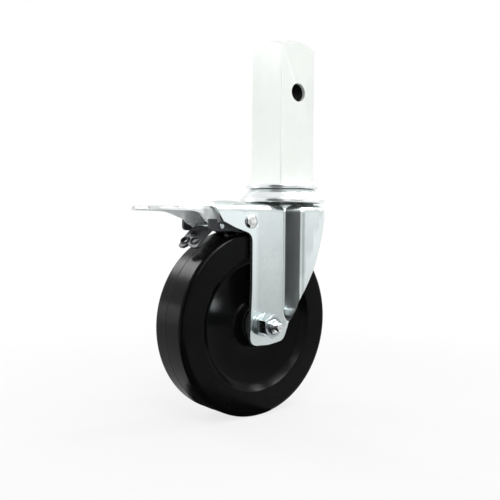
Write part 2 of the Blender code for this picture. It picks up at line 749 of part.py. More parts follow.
def make_wheel():
    """One moulding: tread, round shoulders, flat rims, dished web and hub."""
    half = WHEEL_WIDTH / 2
    bore = bearing_radii()[3]
    rim = RECESS_RADIUS - RECESS_SLOPE
    dish = half - RECESS_DEPTH
    side = arc((WHEEL_RADIUS - WHEEL_SHOULDER, half - WHEEL_SHOULDER), WHEEL_SHOULDER, 90, 0, 5)
    face = [(bore, half), (HUB_RADIUS - 0.0004, half), (HUB_RADIUS, half - 0.0006),
            (HUB_RADIUS + 0.0012, WEB_HALF + 0.0016), (HUB_RADIUS + 0.0040, WEB_HALF),
            ((HUB_RADIUS + rim) / 2, WEB_HALF + (dish - WEB_HALF) * 0.28),
            (rim - 0.0020, dish - 0.0007), (rim, dish), (RECESS_RADIUS - 0.0007, half - 0.0006),
            (RECESS_RADIUS + 0.0004, half)]
    upper = face + side
    lower = [(radius, -height) for radius, height in reversed(upper)]
    wheel = across("wheel_rubber", upper + lower, 56,
                   material("wheel_rubber_black", RUBBER, 0.0, 0.35))
    return wheel


def make_bearing():
    """Greased roller bearing: shell in the hub, caged rollers, and the sleeve they run on."""
    sleeve, pitch, shell, bore = bearing_radii()
    half = WHEEL_WIDTH / 2 - 0.0006
    long_half = LEG_INNER - GAP
    across("bearing_shell", [(bore - GAP, half), (bore - GAP, -half), (shell, -half), (shell, half)], 32,
           steel("bearing_shell"))
    across("axle_sleeve", [(sleeve, long_half), (sleeve, -long_half), (AXLE_RADIUS + GAP, -long_half),
                           (AXLE_RADIUS + GAP, long_half)], 24, steel("axle_sleeve"))
    cage_half = ROLLER_LENGTH / 2 + 0.0013
    thick = ROLLER_CAGE_WALL / 2
    cage = across("roller_cage", [(pitch + thick, cage_half), (pitch + thick, -cage_half),
                                  (pitch - thick, -cage_half), (pitch - thick, cage_half)], 24,
                  steel("roller_cage"))
    roller_skin = steel("roller")
    window = ROLLER_LENGTH + 2 * GAP
    for index in range(ROLLERS):
        angle = 2 * math.pi * index / ROLLERS
        place = (AXLE_X + pitch * math.cos(angle), 0, AXLE_Z + pitch * math.sin(angle))
        roller = rod(f"roller_{index + 1:02d}", ROLLER_RADIUS, ROLLER_LENGTH, 12)
        cutters.objects.unlink(roller)
        part.objects.link(roller)
        roller.hide_render = False
        roller.display_type = "TEXTURED"
        roller.data.materials.append(roller_skin)
        roller.location = place
        smooth(roller)
        slot = box(f"roller_window_{index + 1:02d}", (-thick * 3, -window / 2, -ROLLER_RADIUS - GAP),
                   (thick * 3, window / 2, ROLLER_RADIUS + GAP))
        slot.location = place
        slot.rotation_euler = (0, -angle, 0)
        modify(cage, slot, "DIFFERENCE")


def make_thrust_washers():
    inner = AXLE_RADIUS + GAP + SLEEVE_WALL + GAP
    for name, side in (("thrust_washer_near", 1), ("thrust_washer_far", -1)):
        near = side * (WHEEL_WIDTH / 2 + GAP)
        high, low = sorted((near, near + side * THRUST_SHEET), reverse=True)
        across(name, [(THRUST_RADIUS, high), (THRUST_RADIUS, low), (inner, low), (inner, high)], 28,
               steel(name))


def nut_levels():
    """Distances from the wheel's middle to the lock washer, the nut and the bolt's end."""
    washer = LEG_OUTER + GAP
    nut = washer + LOCK_WASHER_SHEET + GAP
    return washer, nut, nut + AXLE_NUT_HEIGHT + AXLE_END


def make_axle():
    """Bolt with its head on the +Y side, lock washer, nut, and a grease nipple in its end."""
    washer, nut, end = nut_levels()
    quarter = (math.pi / 2, 0, 0)
    place = (AXLE_X, 0, AXLE_Z)
    head_top = -(LEG_OUTER + GAP)
    bolt = hex_piece("axle_bolt", AXLE_FLATS, AXLE_HEAD, 0, zinc("axle_bolt"),
                     (AXLE_X, -(head_top - AXLE_HEAD), AXLE_Z), quarter)
    chamfer = 0.0006
    bore = NIPPLE_NECK + GAP
    shank = across("axle_shank", [(0, end - NIPPLE_SHANK - GAP), (bore, end - NIPPLE_SHANK - GAP),
                                  (bore, end), (AXLE_RADIUS - chamfer, end),
                                  (AXLE_RADIUS, end - chamfer), (AXLE_RADIUS, head_top - 0.001),
                                  (0, head_top - 0.001)], 24)
    modify(bolt, shank, "UNION")
    smooth(bolt)
    ring = across("axle_lock_washer", [(AXLE_FLATS * 0.57, washer + LOCK_WASHER_SHEET),
                                       (AXLE_FLATS * 0.57, washer), (AXLE_RADIUS + GAP, washer),
                                       (AXLE_RADIUS + GAP, washer + LOCK_WASHER_SHEET)], 28,
                  zinc("axle_lock_washer"))
    split = box("lock_washer_split", (0, -LOCK_WASHER_SHEET * 2, -LOCK_WASHER_SPLIT / 2),
                (AXLE_FLATS, LOCK_WASHER_SHEET * 2, LOCK_WASHER_SPLIT / 2))
    split.location = (AXLE_X, -washer - LOCK_WASHER_SHEET / 2, AXLE_Z)
    split.rotation_euler = (0, math.radians(-62), 0)
    modify(ring, split, "DIFFERENCE")
    hex_piece("axle_nut", AXLE_FLATS, AXLE_NUT_HEIGHT, AXLE_RADIUS + GAP, zinc("axle_nut"),
              (AXLE_X, -nut, AXLE_Z), quarter)
    make_nipple(end)


def make_nipple(end):
    """Grease nipple screwed into the bolt's end, with a small dimple for its check ball."""
    seat = end + GAP
    tip = seat + NIPPLE_LENGTH
    neck = NIPPLE_NECK
    profile = [(0, tip - 0.0010), (0.0007, tip), (NIPPLE_HEAD * 0.62, tip), (NIPPLE_HEAD, tip - 0.0009),
               (NIPPLE_HEAD, tip - 0.0019), (neck + 0.0002, tip - 0.0027), (neck + 0.0003, seat + 0.0014),
               (NIPPLE_BASE, seat + 0.0011), (NIPPLE_BASE, seat), (neck, seat), (neck, end - NIPPLE_SHANK),
               (0, end - NIPPLE_SHANK)]
    across("grease_nipple", profile, 20, material("grease_nipple_steel", BRIGHT_STEEL, 1.0, 0.25))


# Brake

def about_pivot(point, degrees):
    """A side-view point turned about the brake pivot; positive drops what is ahead of it."""
    angle = math.radians(degrees)
    x, z = point[0] - PIVOT_X, point[1] - PIVOT_Z
    return Vector((PIVOT_X + x * math.cos(angle) - z * math.sin(angle),
                   PIVOT_Z + x * math.sin(angle) + z * math.cos(angle)))


def across_pivot(name, x, z, profile, segments, skin=None):
    return turned(name, profile, segments, skin, (x, 0, z), (math.pi / 2, 0, 0))


def rivet_profile(half, radius, head, rise):
    """A pin with a low domed head at each end, from end to end."""
    dome = [(0, half + rise), (head * 0.5, half + rise * 0.88), (head * 0.86, half + rise * 0.5),
            (head, half + rise * 0.08), (head, half), (radius, half)]
    return dome + [(r, -h) for r, h in reversed(dome)]


def make_pivot():
    """Riveted pivot pin across the fork's arms, with a spacer each side of the lever."""
    across_pivot("pivot_pin", PIVOT_X, PIVOT_Z,
                 rivet_profile(LEG_OUTER + GAP, PIVOT_RADIUS, PIVOT_HEAD, PIVOT_HEAD_RISE), 20,
                 steel("pivot_pin"))
    bore = PIVOT_RADIUS + GAP
    for name, side in (("pivot_spacer_near", 1), ("pivot_spacer_far", -1)):
        high, low = sorted((side * (LEVER_HALF + GAP), side * (LEG_INNER - GAP)), reverse=True)
        across_pivot(name, PIVOT_X, PIVOT_Z,
                     [(bore + 0.0013, high), (bore + 0.0013, low), (bore, low), (bore, high)], 16,
                     steel(name))


def lever_wall():
    """Side view of the lever's walls, with a square lug at the front end."""
    floor = PIVOT_Z - LEVER_FLOOR
    front = PIVOT_X - LEVER_FRONT
    lug = front + LUG_LENGTH
    top = TOGGLE_Z + TOGGLE_RADIUS + GAP + 0.0005
    return rounded([(front, floor), (front, PIVOT_Z + LUG_RISE), (lug, PIVOT_Z + LUG_RISE), (lug, top),
                    (PIVOT_X - 0.0100, top), (PIVOT_X - 0.0050, PIVOT_Z + 0.0048),
                    (PIVOT_X + 0.0050, PIVOT_Z + 0.0048), (PIVOT_X + 0.0085, PIVOT_Z + 0.0012),
                    (PIVOT_X + 0.0120, PIVOT_Z + 0.0012), (PIVOT_X + 0.0120, PIVOT_Z - 0.0011),
                    (PIVOT_X + 0.0050, PIVOT_Z - 0.0040), (PIVOT_X + 0.0020, PIVOT_Z - 0.0050),
                    (PIVOT_X - WEB_FRONT, floor)],
                   [LEVER_NOSE_RADIUS, 0.0007, 0.0007, 0.0004, 0.003, 0.003, 0.003, 0.001, 0.0005, 0.001,
                    0.002, 0.002, 0.01], 3)


def tongue_path():
    """Underside of the tongue at rest: from the web to where it bites the tread when locked."""
    bite = math.radians(TONGUE_BITE_DEG)
    reach = WHEEL_RADIUS + BRAKE_CLEARANCE
    locked = (AXLE_X - reach * math.sin(bite), AXLE_Z + reach * math.cos(bite))
    end = about_pivot(locked, -LEVER_TRAVEL_DEG)
    root = Vector((PIVOT_X - WEB_FRONT + 0.0024, PIVOT_Z - LEVER_FLOOR + 0.0006))
    start = root - Vector((0.0022, 0))
    chord = end - start
    outward = Vector((chord.y, -chord.x)).normalized()
    control = (start + end) / 2 + outward * 2 * TONGUE_BULGE
    return [root] + [(1 - t) ** 2 * start + 2 * t * (1 - t) * control + t * t * end
                     for t in (step / 5 for step in range(6))], outward


def thick_path(path, outward, thickness):
    """A closed side-view strip on one side of a path."""
    top = []
    for index, point in enumerate(path):
        before = path[max(index - 1, 0)]
        after = path[min(index + 1, len(path) - 1)]
        along = (after - before).normalized()
        normal = Vector((along.y, -along.x))
        if normal.dot(outward) < 0:
            normal = -normal
        top.append(point + normal * thickness)
    return [tuple(p) for p in path] + [tuple(p) for p in reversed(top)]


def slot_outline(half, radius, count=4):
    """An oblong, round at both ends."""
    right = arc((half, 0), radius, -90, 90, count)
    left = arc((-half, 0), radius, 90, 270, count)
    return right + left


def tongue_frame(path, share):
    """Matrix whose X runs across the tongue and whose Z points out of it, at a share of its length."""
    place = 1 + share * (len(path) - 2)
    index = min(int(place), len(path) - 2)
    point = path[index].lerp(path[index + 1], place - index)
    along = (path[index + 1] - path[index]).normalized()
    out = Vector((along.y, 0, -along.x))
    if out.x > 0:
        out = -out
    cross = Vector((0, 1, 0))
    up = out.cross(cross)
    return Matrix(((cross.x, up.x, out.x, point.x), (cross.y, up.y, out.y, 0),
                   (cross.z, up.z, out.z, point.y), (0, 0, 0, 1)))


def bite_outline():
    """What is cut off the tongue's end: two lobes stay, with a stepped notch between them."""
    wide = TONGUE_HALF * 1.2
    corner = BITE_CORNER
    outer = TONGUE_HALF - corner
    start = SLOT_SHIFT - BITE_NOTCH_HALF
    end = SLOT_SHIFT + BITE_NOTCH_HALF
    step = BITE_NOTCH * 0.42
    return [(-wide, wide / 2), (-wide, -corner), (-TONGUE_HALF, -corner), (-outer, -0.0001),
            (start, -0.0001), (start * 0.7, -step), (start * 0.35, -step), (SLOT_SHIFT, -BITE_NOTCH),
            (end * 0.4, -BITE_NOTCH), (end * 0.6, -step), (end * 0.8, -step), (end, -0.0001),
            (outer, -0.0001), (TONGUE_HALF, -corner), (wide, -corner), (wide, wide / 2)]


def make_lever():
    """Black pressed lever: two walls, a web, a pierced tongue and a tail with a locking prong."""
    path, outward = tongue_path()
    walls = side_plate("brake_lever", [lever_wall()], -(LEVER_HALF - LEVER_SHEET / 2), LEVER_SHEET,
                       oxide("brake_lever"))
    other = side_plate("lever_far_wall", [lever_wall()], LEVER_HALF - LEVER_SHEET / 2, LEVER_SHEET)
    floor = PIVOT_Z - LEVER_FLOOR + 0.0004
    inside = LEVER_HALF - LEVER_SHEET * 0.3
    ends = (PIVOT_X - WEB_FRONT, PIVOT_X - WEB_WIDE_FRONT, PIVOT_X - WEB_REAR)
    web = level_plate("lever_web", [[(ends[0], -TONGUE_HALF), (ends[1], -TONGUE_HALF), (ends[1], -inside),
                                     (ends[2], -inside), (ends[2], inside), (ends[1], inside),
                                     (ends[1], TONGUE_HALF), (ends[0], TONGUE_HALF)]], floor, LEVER_SHEET)
    tongue = side_plate("lever_tongue", [thick_path(path, outward, LEVER_SHEET)], 0, TONGUE_HALF * 2)
    for piece in (web, tongue, make_tail(), other):
        modify(walls, piece, "UNION")
    holes = ((0.35, 0), (0.71, -1), (0.71, 1))
    for index, (share, side) in enumerate(holes):
        frame = tongue_frame(path, share)
        offset = Matrix.Translation((side * SLOT_SPREAD + SLOT_SHIFT, 0, 0))
        rim = plate(f"slot_rim_{index}", [slot_outline(SLOT_HALF, SLOT_RADIUS + 0.0009)],
                    LEVER_SHEET * 0.4 + SLOT_RIM, None,
                    frame @ offset @ Matrix.Translation((0, 0, LEVER_SHEET * 0.8 + SLOT_RIM / 2)))
        modify(walls, rim, "UNION")
    for index, (share, side) in enumerate(holes):
        frame = tongue_frame(path, share)
        offset = Matrix.Translation((side * SLOT_SPREAD + SLOT_SHIFT, 0, 0))
        hole = plate(f"slot_hole_{index}", [slot_outline(SLOT_HALF, SLOT_RADIUS)], LEVER_SHEET * 6,
                     None, frame @ offset)
        modify(walls, hole, "DIFFERENCE")
    teeth = bite_outline()
    modify(walls, plate("tongue_teeth", [teeth], LEVER_SHEET * 6, None, tongue_frame(path, 1.0)),
           "DIFFERENCE")
    modify(walls, rod("lever_pivot_hole", PIVOT_RADIUS + GAP, LEVER_HALF * 3, 20, (PIVOT_X, 0, PIVOT_Z)),
           "DIFFERENCE")
    modify(walls, rod("lever_toggle_hole", TOGGLE_RADIUS + GAP, LEVER_HALF * 3, 16,
                      (TOGGLE_X, 0, TOGGLE_Z)), "DIFFERENCE")


def make_tail():
    """Rear plate of the lever, narrowing to a prong that stops just under the locked ring."""
    start = PIVOT_X + 0.0060
    end = PIVOT_X + LEVER_TAIL
    travel = (end - 0.0010 - PIVOT_X) * math.sin(math.radians(LEVER_TRAVEL_DEG))
    top = LOCK_RING_BOTTOM - BRAKE_CLEARANCE - travel - 0.0006
    wide = LEVER_HALF - LEVER_SHEET * 0.3
    prong = 0.0040
    return level_plate("lever_tail", [[(start, -wide), (start + 0.0070, -wide), (end - 0.0070, -prong),
                                       (end, -prong), (end, prong), (end - 0.0070, prong),
                                       (start + 0.0070, wide), (start, wide)]],
                       top - LEVER_SHEET, LEVER_SHEET)


def make_toggle_pin():
    across_pivot("toggle_pin", TOGGLE_X, TOGGLE_Z,
                 rivet_profile(LEVER_HALF + GAP, TOGGLE_RADIUS, TOGGLE_HEAD, TOGGLE_HEAD_RISE), 16,
                 zinc("toggle_pin"))


def pedal_heel():
    """Distance behind the toggle pin at which the heel slides under the crown without lifting."""
    return TOGGLE_REACH / (1 + TOGGLE_RATIO)


def pedal_stations():
    """Heel to tip: distance ahead of the toggle pin, half width and flange depth."""
    heel = pedal_heel()
    tip = PEDAL_TIP
    deep = PEDAL_FLANGE
    neck = PEDAL_NECK
    half = PEDAL_HALF
    edge = PEDAL_EDGE
    return [(-heel, neck, deep - 0.0085), (-heel + 0.0021, neck, deep - 0.0050), (-0.0040, neck, deep - 0.0022),
            (-0.0024, neck, deep - 0.0005), (0.0, neck, deep), (0.0024, neck, deep - 0.0006),
            (0.0042, neck, deep - 0.0021), (0.0082, neck, deep - 0.0041), (0.0104, neck + 0.0002, deep - 0.0066),
            (0.0133, neck + 0.0022, deep - 0.0083), (0.0163, half - 0.0008, deep - 0.0098),
            (0.0208, half, edge + 0.0006), (0.0255, half, edge), (tip - 0.0080, half, edge),
            (tip - 0.0052, half - 0.0010, edge), (tip - 0.0026, half - 0.0028, edge),
            (tip - 0.0008, half - 0.0054, edge), (tip, half - 0.0084, edge)]


def make_pedal():
    """Pressed pedal: a wide tread that narrows into the lever, with a slot in each side edge."""

    def build(work):
        rows = []
        for ahead, half, depth in pedal_stations():
            x = TOGGLE_X - ahead
            side = [(half, PEDAL_TOP - depth)]
            side += arc((half - PEDAL_BEND, PEDAL_TOP - PEDAL_BEND), PEDAL_BEND, 0, 90, 4)
            row = side + [(0, PEDAL_TOP)] + [(-y, z) for y, z in reversed(side)]
            rows.append([work.verts.new((x, y, z)) for y, z in row])
        for back, front in zip(rows, rows[1:]):
            for index in range(len(back) - 1):
                work.faces.new((back[index], front[index], front[index + 1], back[index + 1]))

    pedal = add_object("pedal", new_mesh("pedal", build), zinc("pedal"))
    shell = pedal.modifiers.new("sheet", "SOLIDIFY")
    shell.thickness = PEDAL_SHEET
    shell.offset = -1.0
    shell.use_even_offset = True
    middle = TOGGLE_X - PEDAL_TIP + PEDAL_SLOT_PLACE
    for side in (1, -1):
        inner, outer = sorted((side * (PEDAL_HALF - PEDAL_SLOT_DEPTH), side * (PEDAL_HALF + 0.001)))
        slot = box(f"pedal_slot_{'near' if side < 0 else 'far'}",
                   (middle - PEDAL_SLOT_LENGTH / 2, inner, PEDAL_TOP - PEDAL_SLOT_DROP),
                   (middle + PEDAL_SLOT_LENGTH / 2, outer, PEDAL_TOP + 0.0005))
        modify(pedal, slot, "DIFFERENCE")
    modify(pedal, rod("pedal_toggle_hole", TOGGLE_RADIUS + GAP, PEDAL_HALF * 3, 16,
                      (TOGGLE_X, 0, TOGGLE_Z)), "DIFFERENCE")
    smooth(pedal, 35.0)


def make_spring():
    """Torsion spring on the pivot pin: one leg under the crown, the other over the lever's tail."""
    curve = bpy.data.curves.new("return_spring", "CURVE")
    curve.dimensions = "3D"
    curve.bevel_depth = SPRING_WIRE / 2
    curve.bevel_resolution = 1
    curve.use_fill_caps = True
    pitch = SPRING_WIRE + GAP
    half = SPRING_TURNS * pitch / 2
    per_turn = 10
    points = []
    for step in range(SPRING_TURNS * per_turn + 4):
        angle = 2 * math.pi * step / per_turn + math.radians(70)
        points.append((PIVOT_X + SPRING_COIL * math.cos(angle), -half + pitch * step / per_turn,
                       PIVOT_Z + SPRING_COIL * math.sin(angle)))
    first = Vector(points[0])
    last = Vector(points[-1])
    under_crown = Vector((PIVOT_X + SPRING_ARM, first.y, CROWN_BOTTOM - GAP - SPRING_WIRE / 2 - 0.0002))
    points = [tuple(under_crown)] + points
    points.append((last.x - SPRING_HOOK, last.y + 0.0006, last.z - 0.0006))
    spline = curve.splines.new("POLY")
    spline.points.add(len(points) - 1)
    for point, place in zip(spline.points, points):
        point.co = (*place, 1)
    spring = bpy.data.objects.new("return_spring", curve)
    part.objects.link(spring)
    curve.materials.append(steel("return_spring"))


def main():
    clear_scene()
    make_stem()
    make_weld("weld_bead_front", 1)
    make_weld("weld_bead_back", -1)
    make_disc()
    make_cap()
    make_king_pin()
    make_lower_race()
    make_lock_ring()
    make_king_nut()
    make_balls("upper_ball", UPPER_BALLS, upper_pitch(), UPPER_LEVEL, steel("upper_ball"))
    make_balls("lower_ball", LOWER_BALLS, LOWER_PITCH, LOWER_LEVEL, steel("lower_ball"))
    make_cages()
    make_fork()
    make_wheel()
    make_bearing()
    make_thrust_washers()
    make_axle()
    make_pivot()
    make_lever()
    make_toggle_pin()
    make_pedal()
    make_spring()


main()
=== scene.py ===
import math

import bmesh
import bpy
from mathutils import Matrix, Vector, noise


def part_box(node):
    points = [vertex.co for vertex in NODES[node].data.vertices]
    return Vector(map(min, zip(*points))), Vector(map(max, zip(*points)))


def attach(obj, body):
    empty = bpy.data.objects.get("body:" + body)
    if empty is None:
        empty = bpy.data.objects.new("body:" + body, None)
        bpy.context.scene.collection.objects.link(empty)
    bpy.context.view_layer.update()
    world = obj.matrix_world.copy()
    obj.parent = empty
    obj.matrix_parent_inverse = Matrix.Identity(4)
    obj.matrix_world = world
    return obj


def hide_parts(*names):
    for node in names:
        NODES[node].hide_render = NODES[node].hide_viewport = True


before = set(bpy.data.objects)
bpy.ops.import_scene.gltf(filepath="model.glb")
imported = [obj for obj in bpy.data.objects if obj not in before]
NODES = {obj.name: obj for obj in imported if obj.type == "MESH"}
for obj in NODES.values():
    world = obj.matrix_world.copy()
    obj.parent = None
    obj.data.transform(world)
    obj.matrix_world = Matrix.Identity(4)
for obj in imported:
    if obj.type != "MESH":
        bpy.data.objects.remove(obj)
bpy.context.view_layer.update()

# Places and sizes, in metres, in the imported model's frame
AXLE = Vector((-0.034, 0.0, -0.0957))
PIVOT = Vector((-0.045, 0.0, -0.0263))
TOGGLE = Vector((-0.0665, 0.0, -0.0294))
FLOOR = -0.1592
STEM_HALF = 0.015875
STEM_TOP = 0.0992
STEM_FOOT = 0.0003
PIN_HOLE_Z = 0.0644
LIP_RADIUS = 0.03055
NOSE_RADIUS = 0.0307
CROWN_TOP = -0.0144
DOME_LEVEL = -0.0078
LEG_OUTER = 0.0196
SHEET = 0.0025
BEND = 0.0060
UPPER_LEVEL = -0.00818
LOWER_LEVEL = -0.01298
BALL_SEAT = 0.00268
WHEEL_RADIUS = 0.0635
WHEEL_HALF = 0.015875
BOLT_RADIUS = 0.00476
BOLT_HOLE = 0.00506
BOLT_FLATS = 0.01429
KING_HOLE = 0.0065
PIVOT_HOLE = 0.0033
TOGGLE_HOLE = 0.0017
PEDAL_TOP = -0.0173
PEDAL_HALF = 0.0190
GAP = 0.0003


# Meshes

def to_mesh(name, build):
    work = bmesh.new()
    build(work)
    mesh = bpy.data.meshes.new(name)
    work.to_mesh(mesh)
    work.free()
    return mesh


def add(name, data):
    made = bpy.data.objects.new(name, data)
    bpy.context.scene.collection.objects.link(made)
    return made


def finish_piece(piece, body, skin, slot, *nodes, sharp=32.0):
    """Give a piece its material and its body, and hide the nodes it stands for. The slot is not used."""
    piece.data.materials.clear()
    piece.data.materials.append(skin)
    piece.data.shade_smooth()
    piece.data.set_sharp_from_angle(angle=math.radians(sharp))
    weigh = piece.modifiers.new("weigh", "WEIGHTED_NORMAL")
    weigh.keep_sharp = True
    baked(piece)
    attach(piece, body)
    if nodes:
        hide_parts(*nodes)


def baked(piece):
    """Turn a piece's modifiers into plain mesh."""
    graph = bpy.context.evaluated_depsgraph_get()
    mesh = bpy.data.meshes.new_from_object(piece.evaluated_get(graph))
    piece.modifiers.clear()
    old = piece.data
    piece.data = mesh
    if old.users == 0:
        bpy.data.meshes.remove(old)


def boolean(piece, other, operation):
    """Apply one Boolean and remove the tool."""
    change = piece.modifiers.new("change", "BOOLEAN")
    change.operation = operation
    change.solver = "EXACT"
    change.object = other
    baked(piece)
    mesh = other.data
    bpy.data.objects.remove(other, do_unlink=True)
    bpy.data.meshes.remove(mesh)


def thicken(piece, thickness):
    """Give a surface its sheet's thickness, on its inner side."""
    shell = piece.modifiers.new("sheet", "SOLIDIFY")
    shell.thickness = thickness
    shell.offset = -1.0
    shell.use_even_offset = True
    baked(piece)


def ease_edges(piece, width, angle):
    """Round the sharp edges of a piece."""
    work = bmesh.new()
    work.from_mesh(piece.data)
    bmesh.ops.remove_doubles(work, verts=work.verts, dist=2e-6)
    bmesh.ops.dissolve_degenerate(work, edges=work.edges, dist=2e-6)
    edges = [edge for edge in work.edges if len(edge.link_faces) == 2
             and edge.calc_face_angle(0.0) > math.radians(angle)]
    bmesh.ops.bevel(work, geom=edges, offset=width, segments=2, profile=0.5, affect="EDGES",
                    clamp_overlap=True)
    work.to_mesh(piece.data)
    work.free()


def arc(centre, radius, start, end, count):
    angles = [math.radians(start + (end - start) * step / (count - 1)) for step in range(count)]
    return [(centre[0] + radius * math.cos(a), centre[1] + radius * math.sin(a)) for a in angles]


def circle(radius, count):
    return [(radius * math.cos(2 * math.pi * k / count), radius * math.sin(2 * math.pi * k / count))
            for k in range(count)]


def rounded(corners, radii, count=6):
    """A closed outline with each corner rounded by a curve."""
    radii = radii if isinstance(radii, (list, tuple)) else [radii] * len(corners)
    outline = []
    for index, corner in enumerate(corners):
        here = Vector(corner)
        back = Vector(corners[index - 1]) - here
        ahead = Vector(corners[(index + 1) % len(corners)]) - here
        turn = back.angle(ahead)
        reach = radii[index] / math.tan(turn / 2)
        if reach < 1e-6:
            outline.append(tuple(here))
            continue
        reach = min(reach, 0.49 * back.length, 0.49 * ahead.length)
        start = here + back.normalized() * reach
        end = here + ahead.normalized() * reach
        for step in range(count + 1):
            t = step / count
            outline.append(tuple((1 - t) ** 2 * start + 2 * t * (1 - t) * here + t * t * end))
    return outline


def turned(axis, at):
    """Where a piece built along Z goes: to a point, and onto -Y for the Y axis."""
    turn = Matrix.Rotation(math.pi / 2, 4, "X") if axis == "Y" else Matrix.Identity(4)
    return Matrix.Translation(at) @ turn


def join(work, rings, closed=False):
    """Faces from each ring of vertices to the next; a ring of one vertex is a point."""
    for first, second in zip(rings, rings[1:] + (rings[:1] if closed else [])):
        count = max(len(first), len(second))
        for k in range(count if count > 1 else 0):
            ahead = (k + 1) % count
            corners = (first[k % len(first)], second[k % len(second)], second[ahead % len(second)],
                       first[ahead % len(first)])
            work.faces.new(tuple(dict.fromkeys(corners)))


def spun(name, profile, segments, axis="Z", at=(0, 0, 0)):
    """Turn a closed profile of (radius, height); a radius of 0 closes on the axis."""

    def build(work):
        rings = []
        for radius, height in profile:
            if radius < 1e-7:
                rings.append([work.verts.new((0, 0, height))])
                continue
            rings.append([work.verts.new((*place, height)) for place in circle(radius, segments)])
        join(work, rings, profile[0][0] > 1e-7)
        bmesh.ops.recalc_face_normals(work, faces=work.faces)

    mesh = to_mesh(name, build)
    mesh.transform(turned(axis, at))
    return add(name, mesh)


def drawn_mesh(curve, lines, cyclic):
    """Draw lines of points into a curve and turn it into a mesh."""
    for line in lines:
        spline = curve.splines.new("POLY")
        spline.points.add(len(line) - 1)
        for point, place in zip(spline.points, line):
            point.co = (*place, 1)
        spline.use_cyclic_u = cyclic
    drawn = add(curve.name, curve)
    graph = bpy.context.evaluated_depsgraph_get()
    mesh = bpy.data.meshes.new_from_object(drawn.evaluated_get(graph))
    bpy.data.objects.remove(drawn, do_unlink=True)
    bpy.data.curves.remove(curve)
    return mesh


def flat_plate(name, outlines, thickness, matrix):
    """A plate from a filled outline with holes, placed by a matrix; its own Z is its thickness."""
    curve = bpy.data.curves.new(name, "CURVE")
    curve.dimensions = "2D"
    curve.fill_mode = "BOTH"
    curve.extrude = thickness / 2
    mesh = drawn_mesh(curve, [[(*place, 0) for place in outline] for outline in outlines], True)
    work = bmesh.new()
    work.from_mesh(mesh)
    bmesh.ops.remove_doubles(work, verts=work.verts, dist=1e-7)
    work.transform(matrix)
    bmesh.ops.recalc_face_normals(work, faces=work.faces)
    work.to_mesh(mesh)
    work.free()
    return add(name, mesh)


SIDE = Matrix(((1, 0, 0, 0), (0, 0, 1, 0), (0, 1, 0, 0), (0, 0, 0, 1)))


def side_plate(name, outlines, middle, thickness):
    """A plate drawn in X and Z, with its thickness along Y."""
    return flat_plate(name, outlines, thickness, Matrix.Translation((0, middle, 0)) @ SIDE)


def level_plate(name, outlines, bottom, thickness):
    return flat_plate(name, outlines, thickness, Matrix.Translation((0, 0, bottom + thickness / 2)))


def box(name, low, high):
    size = [b - a for a, b in zip(low, high)]
    middle = [(a + b) / 2 for a, b in zip(low, high)]
    place = Matrix.Translation(middle) @ Matrix.Diagonal((*size, 1))
    return add(name, to_mesh(name, lambda work: bmesh.ops.create_cube(work, size=1.0, matrix=place)))


def rod(name, radius, low, high, at=(0, 0, 0), axis="Y", segments=48):
    return spun(name, [(0, high), (radius, high), (radius, low), (0, low)], segments, axis, at)


def square(half):
    return [(-half, -half), (half, -half), (half, half), (-half, half)]


def mirrored(points):
    """Points and their mirror image in reverse, which together close an outline."""
    return points + [(first, -second) for first, second in reversed(points)]


# Materials

def fill(tree, node, **values):
    """Fill a node's inputs, named with _ for a space, with links or with plain values."""
    for name, value in values.items():
        socket = node.inputs[name.replace("_", " ")]
        if isinstance(value, bpy.types.NodeSocket):
            tree.links.new(value, socket)
        else:
            socket.default_value = (*value, 1.0) if socket.type == "RGBA" else value


def new_node(tree, kind, settings=(), **values):
    """Make a shader node with its settings and its inputs."""
    node = tree.nodes.new("ShaderNode" + kind)
    for name, value in dict(settings).items():
        setattr(node, name, value)
    fill(tree, node, **values)
    return node


def combine(tree, operation, first, second):
    """One Math node over two links."""
    node = new_node(tree, "Math", {"operation": operation})
    tree.links.new(first, node.inputs[0])
    tree.links.new(second, node.inputs[1])
    return node.outputs[0]


def either(tree, *rays):
    """1 where a ray is one of the named kinds."""
    path = new_node(tree, "LightPath")
    result, *others = (path.outputs[ray] for ray in rays)
    for other in others:
        result = combine(tree, "MAXIMUM", result, other)
    return result


class Nodes:
    """A small helper for building a material's nodes."""

    def __init__(self, name):
        self.material = bpy.data.materials.new(name)
        self.material.use_nodes = True
        self.tree = self.material.node_tree
        self.shader = self.tree.nodes["Principled BSDF"]
        self.place = new_node(self.tree, "TexCoord").outputs["Object"]

    def noise(self, scale, detail=4.0, rough=0.55, stretch=(1, 1, 1), distortion=0.0):
        mapping = new_node(self.tree, "Mapping", Vector=self.place, Scale=stretch)
        return new_node(self.tree, "TexNoise", Vector=mapping.outputs["Vector"], Scale=scale, Detail=detail,
                        Roughness=rough, Distortion=distortion).outputs["Fac"]

    def ramp(self, source, *stops):
        made = new_node(self.tree, "ValToRGB", Fac=source)
        elements = made.color_ramp.elements
        while len(elements) < len(stops):
            elements.new(0.5)
        for element, (place, colour) in zip(elements, stops):
            element.position = place
            element.color = (*(colour if isinstance(colour, tuple) else (colour,) * 3), 1.0)
        return made.outputs["Color"]

    def mix(self, factor, first, second, mode="MIX"):
        made = new_node(self.tree, "Mix", {"data_type": "RGBA", "blend_type": mode})
        fill(self.tree, made, Factor=factor, A=first, B=second)
        return made.outputs["Result"]

    def bump(self, *layers):
        below = {}
        for source, distance, strength in layers:
            made = new_node(self.tree, "Bump", Distance=distance, Strength=strength, Height=source, **below)
            below = {"Normal": made.outputs["Normal"]}
        self.set(**below)

    def edges(self):
        return new_node(self.tree, "NewGeometry").outputs["Pointiness"]

    def set(self, **values):
        fill(self.tree, self.shader, **values)


